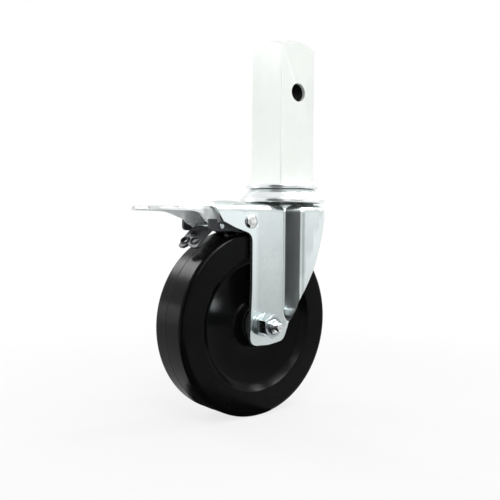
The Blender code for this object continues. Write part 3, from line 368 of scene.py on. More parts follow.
def zinc(name, light, dark, rough, grain, mottle, metal):
    """Bright zinc plating: cloudy mottling, fine crystals, drawing lines and worn edges."""
    n = Nodes(name)
    cloud = n.ramp(n.noise(mottle, 5.0, 0.62), (0.30, dark), (0.70, light))
    crystals = n.ramp(n.noise(1500.0, 2.0, 0.7), (0.35, 0.90), (0.65, 1.0))
    colour = n.mix(1.0, cloud, crystals, "MULTIPLY")
    edge = n.ramp(n.edges(), (0.50, 0.0), (0.56, 1.0))
    bright = tuple(min(1.0, c * 1.12) for c in light)
    colour = n.mix(edge, colour, bright)
    smears = n.noise(90.0, 4.0, 0.5, grain, 0.2)
    lines = n.noise(1300.0, 3.0, 0.6, grain)
    n.set(Base_Color=colour, Metallic=metal,
          Roughness=n.ramp(smears, (0.30, rough[0]), (0.70, rough[1])))
    n.bump((n.noise(320.0, 2.0, 0.5), 0.00002, 0.10), (lines, 0.000008, 0.30))
    return n.material


def steel(name, light=(0.74, 0.75, 0.76), rough=(0.14, 0.26)):
    """Bright turned or ground steel with a thin film of oil."""
    n = Nodes(name)
    cloud = n.noise(420.0, 4.0, 0.6)
    dark = tuple(c * 0.82 for c in light)
    n.set(Base_Color=n.ramp(cloud, (0.3, dark), (0.7, light)), Metallic=1.0,
          Roughness=n.ramp(n.noise(180.0, 4.0), (0.3, rough[0]), (0.7, rough[1])))
    n.bump((n.noise(1800.0, 2.0, 0.5), 0.000008, 0.4))
    return n.material


def oxide(name):
    """Black oxide on pressed steel, rubbed through to grey steel on its edges."""
    n = Nodes(name)
    cloud = n.ramp(n.noise(240.0, 5.0, 0.6), (0.35, (0.006, 0.006, 0.007)), (0.70, (0.015, 0.015, 0.016)))
    edge = n.ramp(n.edges(), (0.52, 0.0), (0.64, 0.30))
    n.set(Base_Color=n.mix(edge, cloud, (0.12, 0.13, 0.14)), Metallic=0.15, Specular_IOR_Level=0.16,
          Roughness=n.ramp(n.noise(300.0, 4.0), (0.3, 0.26), (0.7, 0.40)))
    n.bump((n.noise(1100.0, 3.0, 0.6), 0.00002, 0.4))
    return n.material


def rubber(name):
    """Moulded hard rubber: glossy black skin, faint bloom, fine mould grain and turned lines."""
    n = Nodes(name)
    bloom = n.ramp(n.noise(38.0, 5.0, 0.6), (0.40, (0.0022, 0.0024, 0.0024)),
                   (0.75, (0.0038, 0.0041, 0.0040)))
    specks = n.ramp(n.noise(2600.0, 2.0, 0.6), (0.66, 0.0), (0.80, 0.08))
    n.set(Base_Color=n.mix(specks, bloom, (0.03, 0.03, 0.03)), Metallic=0.0, Specular_IOR_Level=0.07,
          Roughness=n.ramp(n.noise(90.0, 5.0, 0.6), (0.30, 0.16), (0.72, 0.25)))
    n.bump((n.noise(140.0, 3.0, 0.5), 0.00006, 0.20), (n.noise(2200.0, 2.0, 0.5), 0.00001, 0.40))
    return n.material


def nylon(name):
    n = Nodes(name)
    n.set(Base_Color=n.ramp(n.noise(300.0, 4.0), (0.3, (0.62, 0.58, 0.47)), (0.7, (0.76, 0.73, 0.63))),
          Roughness=n.ramp(n.noise(500.0, 3.0), (0.3, 0.38), (0.7, 0.52)))
    n.bump((n.noise(1500.0, 2.0), 0.00001, 0.4))
    return n.material


LEG_ZINC = zinc("leg zinc", (0.66, 0.72, 0.72), (0.61, 0.67, 0.67), (0.20, 0.25), (1, 1, 0.6), 60.0, 0.95)
STEM_ZINC = zinc("stem zinc", (0.84, 0.87, 0.84), (0.74, 0.78, 0.73), (0.28, 0.38), (1, 1, 0.3), 70.0, 0.45)
HEAD_ZINC = zinc("head zinc", (0.87, 0.90, 0.90), (0.81, 0.84, 0.84), (0.18, 0.26), (1, 1, 1), 110.0, 0.85)
WELD_ZINC = zinc("weld zinc", (0.70, 0.71, 0.69), (0.50, 0.52, 0.51), (0.30, 0.46), (1, 1, 1), 240.0, 0.9)
# The pedal's zinc is a paler, nearly matt copy of the zinc: painted light that keeps its flange white where
# the fork's arm shades it.
PEDAL_ZINC_PAINTED_LIGHT = zinc("pedal zinc", (0.88, 0.91, 0.91), (0.82, 0.86, 0.86), (0.26, 0.34), (0.3, 1, 1),
                  110.0, 0.15)
SCREW_ZINC = zinc("screw zinc", (0.56, 0.61, 0.62), (0.44, 0.49, 0.51), (0.12, 0.20), (1, 1, 1), 180.0, 1.0)
BRIGHT = steel("bright steel")
BEARING = steel("bearing steel", (0.66, 0.66, 0.67), (0.16, 0.30))
PIN_STEEL = steel("pin steel", (0.78, 0.80, 0.80), (0.12, 0.22))
OXIDE = oxide("black oxide")
RUBBER = rubber("hard rubber")
NYLON = nylon("nylon cage")


# Stem and swivel head

def make_stem():
    """Square tube with its top turned down at the corners, a cross hole, and black oxide on its inside as
    painted shade.
    """
    half = STEM_HALF
    bore = half - 0.0025
    outlines = [rounded(square(half), 0.0008, 5), rounded(square(bore), 0.0010, 4)]
    stem = level_plate("stem_dressed", outlines, STEM_FOOT, STEM_TOP - STEM_FOOT)
    corner = half * math.sqrt(2) + 0.001
    land = 0.0157
    fall = (corner - land) * math.tan(math.radians(30.0))
    lathe = spun("stem_lathe", [(0, STEM_TOP + 0.0002), (land, STEM_TOP + 0.0002),
                                (corner, STEM_TOP - fall), (corner, -0.001), (0, -0.001)], 160)
    boolean(stem, lathe, "INTERSECT")
    drill = rod("stem_drill", 0.00635, -0.03, 0.03, (0, 0, PIN_HOLE_Z), segments=72)
    boolean(stem, drill, "DIFFERENCE")
    ease_edges(stem, 0.00022, 50.0)
    finish_piece(stem, "stem", STEM_ZINC, "stem_tube_zinc", "stem_tube")
    # The faces inside the bore get black oxide: painted shade for the deep tube, which is zinc like the
    # rest.
    stem.data.materials.append(OXIDE)
    for face in stem.data.polygons:
        x, y, z = face.center
        if max(abs(x), abs(y)) < bore + 0.0002 and z < STEM_TOP - 0.0008:
            face.material_index = 1


def make_weld(name, side, node):
    """A short weld bead with overlapping ripples, flowing into the stem and the disc."""
    length = 0.0150
    leg = 0.0036
    steps = 60
    around = 20

    def build(work):
        rings = []
        for step in range(1, steps):
            s = step / steps * 2 - 1
            swell = math.sqrt(max(0.0, 1 - abs(s) ** 2.6))
            ripple = 0.055 * abs(math.sin((s + 0.04) * 13.0)) - 0.02
            drift = 0.05 * noise.noise(Vector((s * 3.0, side * 5.0, 0.0)))
            reach = leg * swell * (0.97 + ripple + drift)
            ring = []
            for k in range(around):
                angle = 2 * math.pi * k / around
                fat = 1.0 + 0.03 * noise.noise(Vector((s * 9.0, math.cos(angle) * 2, math.sin(angle) * 2)))
                ring.append(work.verts.new((s * length / 2, -side * reach * fat * math.cos(angle),
                                            reach * fat * math.sin(angle))))
            rings.append(ring)
        ends = [[work.verts.new((x, 0, 0))] for x in (-length / 2, length / 2)]
        join(work, ends[:1] + rings + ends[1:])
        bmesh.ops.recalc_face_normals(work, faces=work.faces)

    mesh = to_mesh(name, build)
    mesh.transform(Matrix.Translation((side * 0.0080, -side * STEM_HALF, 0.0)))
    bead = add(name, mesh)
    reach = leg * 2
    near, far = sorted((-side * (STEM_HALF - 0.0004), -side * (STEM_HALF + reach)))
    boolean(bead, box("weld_corner", (-0.02, near, -0.0004), (0.02, far, reach)), "INTERSECT")
    finish_piece(bead, "stem", WELD_ZINC, node + "_zinc", node, sharp=50.0)


def make_disc():
    radius = 0.0259
    rim = 0.00135
    outer = [(radius - rim - 0.0002, 0)] + arc((radius - rim, -rim), rim, 88, 2, 8)
    outer += arc((radius - 0.0011, -0.0030 + 0.0011), 0.0011, -2, -88, 6)
    disc = spun("disc_dressed", outer + [(KING_HOLE, -0.0030), (KING_HOLE, 0)], 144)
    finish_piece(disc, "stem", HEAD_ZINC, "mounting_disc_zinc", "mounting_disc", sharp=50.0)


def make_cap():
    """Race cover: flat top, cone, rolled lip, with a faint turned step in the cone."""
    top = -0.0033
    outer = [(0.0222, top)] + arc((0.0226, top - 0.0016), 0.0016, 84, 52, 4)
    outer += [(0.0262, -0.00600), (0.02680, -0.00655), (0.0288, -0.00905)]
    outer += [(0.0294, -0.00965)] + arc((LIP_RADIUS - 0.0009, -0.0108), 0.0009, 76, 4, 6)
    outer += arc((LIP_RADIUS - 0.0008, -0.0121), 0.0008, -4, -86, 6)
    inner = [(0.0286, -0.0129), (0.02825, -0.01255), (0.0280, -0.0115), (0.0228, -0.0055),
             (KING_HOLE, -0.0055), (KING_HOLE, top)]
    cap = spun("cap_dressed", outer + inner, 160)
    finish_piece(cap, "stem", HEAD_ZINC, "race_cap_zinc", "race_cap", sharp=40.0)


def make_inner_head():
    """King pin, lower race, locking ring, nut and the two rows of balls."""
    pin = spun("king_pin_dressed", [(0, 0.0053), (0.0088, 0.0053), (0.0094, 0.00515), (0.0099, 0.0047),
                                    (0.0100, 0.0042), (0.0100, 0.0003), (0.0062, 0.0003), (0.0062, -0.0287),
                                    (0.0056, -0.0295), (0, -0.0295)], 64)
    finish_piece(pin, "stem", BRIGHT, "bright_steel", "king_pin")
    groove = arc((0.0126, LOWER_LEVEL), BALL_SEAT, -134, -46, 12)
    race = spun("lower_race_dressed",
                [(0.0160, -0.01336), (0.0169, -0.01336), (0.0173, -0.01355), (0.0174, -0.0140),
                 (0.0174, -0.0177), (0.0172, -0.0180), (0.0168, -0.01816), (KING_HOLE, -0.01816),
                 (KING_HOLE, -0.01486)] + groove, 96)
    finish_piece(race, "stem", BRIGHT, "bright_steel", "lower_race")
    low, high = (corner.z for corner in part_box("swivel_lock_ring"))
    teeth = []
    for k in range(24):
        for radius, share in ((0.0155, -0.31), (0.0158, -0.27), (0.0186, -0.24), (0.0190, -0.21),
                              (0.0190, 0.21), (0.0186, 0.24), (0.0158, 0.27), (0.0155, 0.31)):
            angle = 2 * math.pi * (k + 0.5 + share) / 24
            teeth.append((radius * math.cos(angle), radius * math.sin(angle)))
    ring = level_plate("lock_ring_dressed", [teeth, circle(KING_HOLE, 48)], low, high - low)
    ease_edges(ring, 0.00018, 60.0)
    finish_piece(ring, "stem", BRIGHT, "bright_steel", "swivel_lock_ring")
    nut = hex_nut("king_nut_dressed", 0.01905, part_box("king_pin_nut")[0].z, 0.0070, KING_HOLE)
    finish_piece(nut, "stem", SCREW_ZINC, "fastener_zinc", "king_pin_nut")
    for name in [n for n in NODES if "_ball_" in n and "cage" not in n]:
        ball = add(name + "_dressed", to_mesh(name, lambda work: bmesh.ops.create_uvsphere(
            work, u_segments=20, v_segments=14, radius=0.00238)))
        ball.data.transform(Matrix.Translation(sum(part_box(name), Vector()) / 2))
        finish_piece(ball, "fork", BRIGHT, "bright_steel", name, sharp=80.0)


def hex_nut(name, flats, bottom, height, bore, axis="Z", at=(0, 0, 0)):
    """A hexagon with turned chamfers, a bore with a lead-in, and softened edges."""
    corner = flats / math.sqrt(3)
    nut = flat_plate(name, [arc((0, 0), corner, 30, 330, 6)], height,
                     turned(axis, at) @ Matrix.Translation((0, 0, bottom + height / 2)))
    slope = (corner - flats / 2) * 0.62
    top = bottom + height
    trim = spun("nut_trim", [(0, top + 1e-4), (flats / 2 * 0.95, top + 1e-4), (corner * 1.02, top - slope),
                             (corner * 1.02, bottom + slope), (flats / 2 * 0.95, bottom - 1e-4),
                             (0, bottom - 1e-4)], 96, axis, at)
    boolean(nut, trim, "INTERSECT")
    if bore:
        lead = bore * 0.12
        drill = spun("nut_drill", [(0, top + lead), (bore + lead * 2, top + lead), (bore, top - lead),
                                   (bore, bottom + lead), (bore + lead * 2, bottom - lead),
                                   (0, bottom - lead)], 64, axis, at)
        boolean(nut, drill, "DIFFERENCE")
    ease_edges(nut, 0.00016, 24.0)
    return nut


# Fork

STEP_FOOT = 0.0158
STEP_SLOPE = math.radians(52.0)
FOOT_RADIUS = 0.0030
HEAD_RADIUS = 0.0065
WALL_BOW = 0.00011
RUNOUT = ((0.0098, 0.0), (0.0037, 0.0012), (0.0012, 0.0031), (-0.0003, 0.0045), (-0.0030, 0.0075))
REAR_X = -0.091


def facing(angle):
    """A direction in plan, turned from -Y towards -X."""
    return Vector((-math.sin(angle), -math.cos(angle)))


def half_plan():
    """Plan of the fork's outer side for Y below 0, as (point, outward normal)."""
    wall = Vector((math.cos(STEP_SLOPE), -math.sin(STEP_SLOPE)))
    out = facing(STEP_SLOPE)
    base = Vector((-STEP_FOOT, -LEG_OUTER)) - out * HEAD_RADIUS
    along = base.dot(wall)
    travel = -along + math.sqrt(along ** 2 - base.length_squared + (NOSE_RADIUS - HEAD_RADIUS) ** 2)
    head = base + wall * travel
    foot_x = -STEP_FOOT - FOOT_RADIUS * math.tan(STEP_SLOPE / 2)
    foot = Vector((foot_x, -LEG_OUTER - FOOT_RADIUS))
    plan = [(Vector((REAR_X, 0)), Vector((-1, 0))), (Vector((REAR_X, -LEG_OUTER / 2)), Vector((-1, 0))),
            (Vector((REAR_X, -LEG_OUTER)), Vector((-1, -1)))]
    first = math.atan2(LEG_OUTER, -REAR_X)
    last = math.atan2(LEG_OUTER, -foot_x)
    for step in range(1, 13):
        angle = first + (last - first) * step / 12
        plan.append((Vector((-LEG_OUTER / math.tan(angle), -LEG_OUTER)), Vector((0, -1))))
    for step in range(1, 9):
        normal = facing(STEP_SLOPE * step / 8)
        plan.append((foot - normal * FOOT_RADIUS, normal))
    nose = head.normalized()
    end = math.atan2(-nose.x, -nose.y)
    low = plan[-1][0]
    high = head + out * HEAD_RADIUS
    for step in range(1, 8):
        t = step / 8
        plan.append((low.lerp(high, t) + out * (WALL_BOW * 4 * t * (1 - t)), out))
    for step in range(13):
        normal = facing(STEP_SLOPE + (end - STEP_SLOPE) * step / 12)
        plan.append((head + normal * HEAD_RADIUS, normal))
    for step in range(1, 25):
        normal = facing(end + (-math.pi / 2 - end) * step / 24)
        plan.append((normal * NOSE_RADIUS, normal))
    return plan


def moved(point, ahead):
    """A plan point of the step or the nose moved forward, where the step runs out at its foot."""
    if point.x < -STEP_FOOT - 2 * FOOT_RADIUS:
        return point
    return Vector((point.x + ahead, point.y))


def runout(height):
    """How far forward the step has moved at a height over the axle."""
    height = min(max(height, RUNOUT[-1][0]), RUNOUT[0][0])
    for (upper, first), (lower, second) in zip(RUNOUT, RUNOUT[1:]):
        if lower <= height <= upper:
            t = (upper - height) / (upper - lower)
            return first + (second - first) * t


def make_fork_surface(work):
    near = half_plan()
    far = [(Vector((p.x, -p.y)), Vector((n.x, -n.y))) for p, n in reversed(near[1:-1])]
    plan = near + far
    ball_circle = 0.0216
    dome = [(0.0094, DOME_LEVEL), (0.0150, DOME_LEVEL)]
    dome += arc((0.0168, DOME_LEVEL - 0.0008), 0.0008, 90, 50, 4)
    dome += arc((ball_circle, UPPER_LEVEL), BALL_SEAT, 204, 250, 8)
    dome += [(0.0227, CROWN_TOP + 0.00045), (0.0234, CROWN_TOP + 0.00012), (0.0240, CROWN_TOP)]
    loops = []
    for radius, height in dome:
        loops.append([(q.x * radius / q.length, q.y * radius / q.length, height)
                      for q in (p - n * BEND for p, n in plan)])
    clear = 0.0242
    for step in range(13):
        angle = math.pi / 2 * step / 12
        inset = BEND * (1 - math.sin(angle))
        height = CROWN_TOP - BEND * (1 - math.cos(angle))
        least = clear + 0.00005 * step
        loops.append([(*(q * max(1.0, least / q.length)), height)
                      for q in (p - n * inset for p, n in plan)])
    for height in (-0.030, -0.045, -0.060, -0.072):
        loops.append([(*p, height) for p, normal in plan])
    for step in range(14):
        height = 0.0104 - 0.0011 * step
        ahead = (runout(height + 0.0012) + runout(height) + runout(height - 0.0012)) / 3
        loops.append([(*moved(p, ahead), AXLE.z + height) for p, normal in plan])
    loops.append([(*moved(p, RUNOUT[-1][1]), AXLE.z - 0.0172) for p, normal in plan])
    join(work, [[work.verts.new(point) for point in loop] for loop in loops])


def side_outline():
    rear = AXLE.x - 0.0095
    front = AXLE.x + 0.0228
    foot = AXLE.z - 0.0142
    arm = PIVOT.x - 0.0280
    corners = [(arm, 0), (arm, PIVOT.z + 0.0080), (arm + 0.0052, PIVOT.z + 0.0002),
               (arm + 0.0150, PIVOT.z - 0.0040), (rear - 0.0001, PIVOT.z - 0.0084),
               (rear, PIVOT.z - 0.0450), (rear - 0.0011, AXLE.z), (rear - 0.0016, foot + 0.0006),
               (rear + 0.0150, foot - 0.0001), (front - 0.0042, AXLE.z - 0.0124),
               (front + 0.0004, AXLE.z - 0.0020), (front, AXLE.z + 0.0040),
               (front + 0.0026, AXLE.z + 0.0170), (0.0023, AXLE.z + 0.0362), (0.0176, AXLE.z + 0.0690),
               (0.0212, AXLE.z + 0.0733), (NOSE_RADIUS * 0.86, CROWN_TOP - BEND - 0.0006),
               (NOSE_RADIUS + 0.004, CROWN_TOP - BEND - 0.0001), (NOSE_RADIUS + 0.004, 0)]
    radii = [0, 0.004, 0.006, 0.02, 0.007, 0.05, 0, 0.0105, 0.03, 0.007, 0.01, 0.02, 0.03, 0.05, 0.01,
             0.004, 0.004, 0, 0]
    return rounded(corners, radii, 10)


def make_hump():
    def build(work):
        bmesh.ops.create_uvsphere(work, u_segments=64, v_segments=32, radius=1.0)
        for vert in work.verts:
            rise = 0.0026 if vert.co.z > 0 else 0.0017
            vert.co = Vector((-0.051 + vert.co.x * 0.0145, vert.co.y * 0.0090,
                              CROWN_TOP - 0.0005 + vert.co.z * rise))

    return add("fork_hump", to_mesh("fork_hump", build))


def make_fork():
    fork = add("fork_dressed", to_mesh("fork_dressed", make_fork_surface))
    thicken(fork, SHEET)
    boolean(fork, side_plate("fork_side", [side_outline()], 0, 0.08), "INTERSECT")
    boolean(fork, rod("axle_drill", BOLT_HOLE, -0.04, 0.04, AXLE), "DIFFERENCE")
    boolean(fork, rod("pivot_drill", PIVOT_HOLE, -0.04, 0.04, PIVOT), "DIFFERENCE")
    boolean(fork, make_hump(), "UNION")
    ease_edges(fork, 0.00028, 52.0)
    finish_piece(fork, "fork", LEG_ZINC, "fork_yoke_zinc", "fork_yoke", sharp=34.0)


# Wheel and axle

def make_wheel():
    """Tread with its parting line, round shoulders, flat rim, recess lip, dished web and hub."""
    half = WHEEL_HALF
    shoulder = 0.0036
    rim_radius = WHEEL_RADIUS - shoulder

    upper = [(0.01225, half - 0.0003), (0.0126, half), (0.0136, half)]
    upper += arc((0.0140, half - 0.0008), 0.0008, 88, 8, 6)
    upper += arc((0.0188, 0.0127), 0.0037, 190, 262, 8)
    upper += [(0.0212, 0.00898), (0.0250, 0.00905), (0.0300, 0.0094), (0.0345, 0.0101), (0.0385, 0.0109)]
    upper += arc((0.0402, 0.0130), 0.0016, 262, 300, 5) + [(0.0424, 0.01245), (0.0450, 0.01475)]
    upper += arc((0.0466, half - 0.0011), 0.0011, 132, 92, 5)
    upper += [(0.0500, half), (0.0560, half), (rim_radius - 0.0004, half)]
    upper += arc((rim_radius, half - shoulder), shoulder, 88, 0, 14)
    line = -0.0025
    ridge = [(WHEEL_RADIUS, line + 0.0005), (WHEEL_RADIUS + 0.00004, line + 0.00022),
             (WHEEL_RADIUS + 0.00013, line + 0.0001), (WHEEL_RADIUS + 0.00013, line - 0.0001),
             (WHEEL_RADIUS + 0.00004, line - 0.00022), (WHEEL_RADIUS, line - 0.0005)]
    lower = [(radius, -height) for radius, height in reversed(upper)]
    tread = [(WHEEL_RADIUS, 0.006)] + ridge + [(WHEEL_RADIUS, -0.008)]
    wheel = spun("wheel_dressed", upper + tread + lower, 220, "Y", AXLE)
    finish_piece(wheel, "wheel", RUBBER, "wheel_rubber_black", "wheel_rubber", sharp=50.0)


def threaded(name, radius, pitch, start, end):
    """A screw thread on the axle; heights run towards -Y."""
    around = 40
    root = 0.86
    rows = int((end - start) / pitch * 8)

    def build(work):
        rings = []
        for row in range(rows + 1):
            height = start + (end - start) * row / rows
            ring = []
            for k in range(around):
                phase = (height / pitch - k / around) % 1.0
                depth = abs(phase - 0.5) * 2
                depth = min(max((depth - 0.12) / 0.76, 0.0), 1.0)
                size = radius * (root + (1 - root) * depth)
                if row == rows:
                    size *= 0.93
                angle = 2 * math.pi * k / around
                ring.append(work.verts.new((size * math.cos(angle), size * math.sin(angle), height)))
            rings.append(ring)
        join(work, rings)
        work.faces.new(rings[0])
        work.faces.new(list(reversed(rings[-1])))
        bmesh.ops.recalc_face_normals(work, faces=work.faces)

    mesh = to_mesh(name, build)
    mesh.transform(turned("Y", AXLE))
    return add(name, mesh)


def collar(name, outer, inner, low, high, at, ease, steps, segments=96):
    """A ring on a Y-axis pin with rounded edges; heights run towards -Y."""
    corners = [(outer, high), (outer, low), (inner, low), (inner, high)]
    return spun(name, rounded(corners, ease, steps), segments, "Y", at)


def make_axle():
    head_height, washer_height, nut_height, thread_pitch = 0.0063, 0.0024, 0.0083, 0.0015875
    washer = LEG_OUTER + GAP
    nut = washer + washer_height + GAP
    end = nut + nut_height + 0.0012
    head = hex_nut("bolt_dressed", BOLT_FLATS, -washer - head_height, head_height, 0, "Y", AXLE)
    shank = rod("bolt_shank", BOLT_RADIUS, -washer - 0.001, nut + 0.0005, AXLE)
    boolean(head, shank, "UNION")
    finish_piece(head, "fork", SCREW_ZINC, "fastener_zinc", "axle_bolt")
    thread = threaded("bolt_thread", BOLT_RADIUS, thread_pitch, nut - 0.001, end)
    boolean(thread, rod("grease_way", 0.0022, end - 0.004, end + 0.002, AXLE), "DIFFERENCE")
    finish_piece(thread, "fork", SCREW_ZINC, "fastener_zinc")
    ring = collar("lock_washer_dressed", BOLT_FLATS * 0.57, BOLT_HOLE, washer, washer + washer_height,
                  AXLE, 0.0003, 3)
    split = box("washer_split", (0.001, -0.006, -0.0006), (0.014, 0.006, 0.0006))
    split.data.transform(Matrix.Translation((AXLE.x, -washer - washer_height / 2, AXLE.z))
                         @ Matrix.Rotation(math.radians(-62), 4, "Y") @ Matrix.Rotation(0.35, 4, "X"))
    boolean(ring, split, "DIFFERENCE")
    finish_piece(ring, "fork", SCREW_ZINC, "fastener_zinc", "axle_lock_washer")
    nut_piece = hex_nut("nut_dressed", BOLT_FLATS, nut, nut_height, BOLT_HOLE, "Y", AXLE)
    finish_piece(nut_piece, "fork", SCREW_ZINC, "fastener_zinc", "axle_nut")
    seat = end + GAP
    tip = seat + 0.0052
    profile = [(0, tip - 0.0009), (0.00045, tip - 0.00075), (0.0007, tip - 0.0001), (0.0009, tip)]
    profile += [(0.0018, tip)] + arc((0.0021, tip - 0.00085), 0.00085, 80, 10, 6)
    profile += [(0.00295, tip - 0.0017), (0.0027, tip - 0.0021), (0.0022, tip - 0.0026),
                (0.0021, tip - 0.0030), (0.00215, seat + 0.0015), (0.0024, seat + 0.00125)]
    profile += [(0.0031, seat + 0.0011), (0.0034, seat + 0.0008), (0.0034, seat), (0.0019, seat),
                (0.0019, end - 0.005), (0, end - 0.005)]
    nipple = spun("nipple_dressed", profile, 64, "Y", AXLE)
    finish_piece(nipple, "fork", PIN_STEEL, "bright_steel", "grease_nipple", sharp=30.0)
    # The thrust washers get black oxide: painted shade for the dark gap between the leg and the hub.
    for name in ("thrust_washer_near", "thrust_washer_far"):
        low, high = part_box(name)
        thrust = collar(name + "_dressed", 0.0128, 0.00666, -high.y, -low.y, AXLE, 0.0001, 2)
        finish_piece(thrust, "fork", OXIDE, "bearing_steel", name)


# Brake

def domed_pin(name, at, half, radius, head, rise):
    """A riveted pin with a domed head at each end."""
    dome = [(0, half + rise)]
    for step in range(1, 12):
        angle = math.radians(step * 7.6)
        dome.append((head * math.sin(angle) * 0.995, half + rise * 0.12 + rise * 0.88 * math.cos(angle)))
    dome += [(head, half + rise * 0.16), (head, half + 0.0001), (head - 0.0001, half), (radius, half)]
    return spun(name, mirrored(dome), 72, "Y", at)


def about_pivot(point, degrees):
    angle = math.radians(degrees)
    x, z = point[0] - PIVOT.x, point[1] - PIVOT.z
    return Vector((PIVOT.x + x * math.cos(angle) - z * math.sin(angle),
                   PIVOT.z + x * math.sin(angle) + z * math.cos(angle)))


LEVER_HALF = 0.0158
LEVER_SHEET = 0.0020
FLOOR_Z = PIVOT.z - 0.0064
TONGUE_HALF = 0.0109
SLOT_SHIFT = 0.0009


def tongue_path():
    bite = math.radians(43.5)
    reach = WHEEL_RADIUS + 0.0005
    end = about_pivot((AXLE.x - reach * math.sin(bite), AXLE.z + reach * math.cos(bite)), -8.0)
    root = Vector((PIVOT.x - 0.0245 + 0.0024, FLOOR_Z + 0.0006))
    start = root - Vector((0.0022, 0))
    chord = end - start
    outward = Vector((chord.y, -chord.x)).normalized()
    control = (start + end) / 2 + outward * 0.0016
    path = [(1 - t) ** 2 * start + 2 * t * (1 - t) * control + t * t * end
            for t in (step / 20 for step in range(21))]
    return [root] + path, outward


def thick_path(path, outward, thickness):
    top = []
    for index, point in enumerate(path):
        along = path[min(index + 1, len(path) - 1)] - path[max(index - 1, 0)]
        normal = Vector((along.y, -along.x)).normalized()
        if normal.dot(outward) < 0:
            normal = -normal
        top.append(point + normal * thickness)
    return [tuple(p) for p in path] + [tuple(p) for p in reversed(top)]


def tongue_frame(path, share):
    place = 1 + share * (len(path) - 2)
    index = min(int(place), len(path) - 2)
    point = path[index].lerp(path[index + 1], place - index)
    along = (path[index + 1] - path[index]).normalized()
    out = Vector((along.y, 0, -along.x))
    if out.x > 0:
        out = -out
    cross = Vector((0, 1, 0))
    up = out.cross(cross)
    return Matrix.Translation((point.x, 0, point.y)) @ Matrix((cross, up, out)).transposed().to_4x4()


def oblong(half, radius, count=12):
    return arc((half, 0), radius, -90, 90, count) + arc((-half, 0), radius, 90, 270, count)


def lever_wall():
    x, z = PIVOT.x, PIVOT.z
    front = x - 0.0310
    lug = front + 0.0060
    top = TOGGLE.z + 0.0014 + GAP + 0.0005
    return rounded([(front, FLOOR_Z), (front, z + 0.0013), (lug, z + 0.0013), (lug, top), (x - 0.0100, top),
                    (x - 0.0050, z + 0.0048), (x + 0.0050, z + 0.0048), (x + 0.0085, z + 0.0012),
                    (x + 0.0120, z + 0.0012), (x + 0.0120, z - 0.0011), (x + 0.0050, z - 0.0040),
                    (x + 0.0020, z - 0.0050), (x - 0.0245, FLOOR_Z)],
                   [0.0032, 0.0007, 0.0007, 0.0004, 0.003, 0.003, 0.003, 0.001, 0.0005, 0.001, 0.002,
                    0.002, 0.01], 8)


def rim_ring(name, matrix, half, inner, outer, low, high):
    """A raised collar round an oblong hole, rounded on top."""
    rows = [(inner, low), (inner, high - 0.0004), (inner + 0.00012, high - 0.0001),
            ((inner + outer) / 2 - 0.0001, high), (outer - 0.0004, high - 0.0002),
            (outer, high - 0.0006), (outer + 0.0003, low)]

    def build(work):
        join(work, [[work.verts.new((x, y, z)) for x, y in oblong(half, r, 16)] for r, z in rows], True)
        work.transform(matrix)
        bmesh.ops.recalc_face_normals(work, faces=work.faces)

    return add(name, to_mesh(name, build))


def bite_outline():
    """What is cut off the tongue's end: two lobes stay, with a stepped notch between them."""
    wide = TONGUE_HALF * 1.2
    corner = 0.0014
    outer = TONGUE_HALF - corner
    start, end = SLOT_SHIFT - 0.0046, SLOT_SHIFT + 0.0046
    notch = 0.0026
    step = notch * 0.42
    points = [(-wide, wide / 2), (-wide, -corner), (-TONGUE_HALF, -corner), (-outer, -0.0001),
              (start, -0.0001), (start * 0.7, -step), (start * 0.35, -step), (SLOT_SHIFT, -notch),
              (end * 0.4, -notch), (end * 0.6, -step), (end * 0.8, -step), (end, -0.0001),
              (outer, -0.0001), (TONGUE_HALF, -corner), (wide, -corner), (wide, wide / 2)]
    return rounded(points, [0, 0] + [0.0004] * 12 + [0, 0], 4)


def make_lever():
    path, outward = tongue_path()
    offset = LEVER_HALF - LEVER_SHEET / 2
    lever = side_plate("lever_dressed", [lever_wall()], -offset, LEVER_SHEET)
    boolean(lever, side_plate("far_wall", [lever_wall()], offset, LEVER_SHEET), "UNION")
    inside = LEVER_HALF - LEVER_SHEET * 0.3
    web_z = FLOOR_Z + 0.0004
    ends = (PIVOT.x - 0.0245, PIVOT.x - 0.0172, PIVOT.x - 0.0070)
    web = mirrored([(ends[0], -TONGUE_HALF), (ends[1], -TONGUE_HALF), (ends[1], -inside),
                    (ends[2], -inside)])
    boolean(lever, level_plate("web", [web], web_z, LEVER_SHEET), "UNION")
    boolean(lever, side_plate("tongue", [thick_path(path, outward, LEVER_SHEET)], 0, TONGUE_HALF * 2),
            "UNION")
    start = PIVOT.x + 0.0060
    end = PIVOT.x + 0.0300
    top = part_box("swivel_lock_ring")[0].z - 0.0011 - (end - 0.0010 - PIVOT.x) * math.sin(math.radians(8))
    prong = 0.004
    tail = rounded(mirrored([(start, -inside), (start + 0.007, -inside), (end - 0.007, -prong),
                             (end, -prong)]), [0, 0.002, 0.003, 0.0015, 0.0015, 0.003, 0.002, 0], 6)
    boolean(lever, level_plate("tail", [tail], top - LEVER_SHEET, LEVER_SHEET), "UNION")
    for share, side in ((0.35, 0), (0.71, -1), (0.71, 1)):
        place = tongue_frame(path, share) @ Matrix.Translation((side * 0.0056 + SLOT_SHIFT, 0, 0))
        boolean(lever, flat_plate("slot", [oblong(0.0016, 0.0019)], 0.012, place), "DIFFERENCE")
        rim = rim_ring("rim", place, 0.0016, 0.0018, 0.0027, 0.0006, LEVER_SHEET + 0.0010)
        boolean(lever, rim, "UNION")
    boolean(lever, flat_plate("teeth", [bite_outline()], 0.012, tongue_frame(path, 1.0)), "DIFFERENCE")
    boolean(lever, rod("pivot_hole", PIVOT_HOLE, -0.02, 0.02, PIVOT), "DIFFERENCE")
    boolean(lever, rod("toggle_hole", TOGGLE_HOLE, -0.02, 0.02, TOGGLE), "DIFFERENCE")
    ease_edges(lever, 0.0002, 50.0)
    finish_piece(lever, "lever", OXIDE, "brake_lever_oxide", "brake_lever", sharp=36.0)


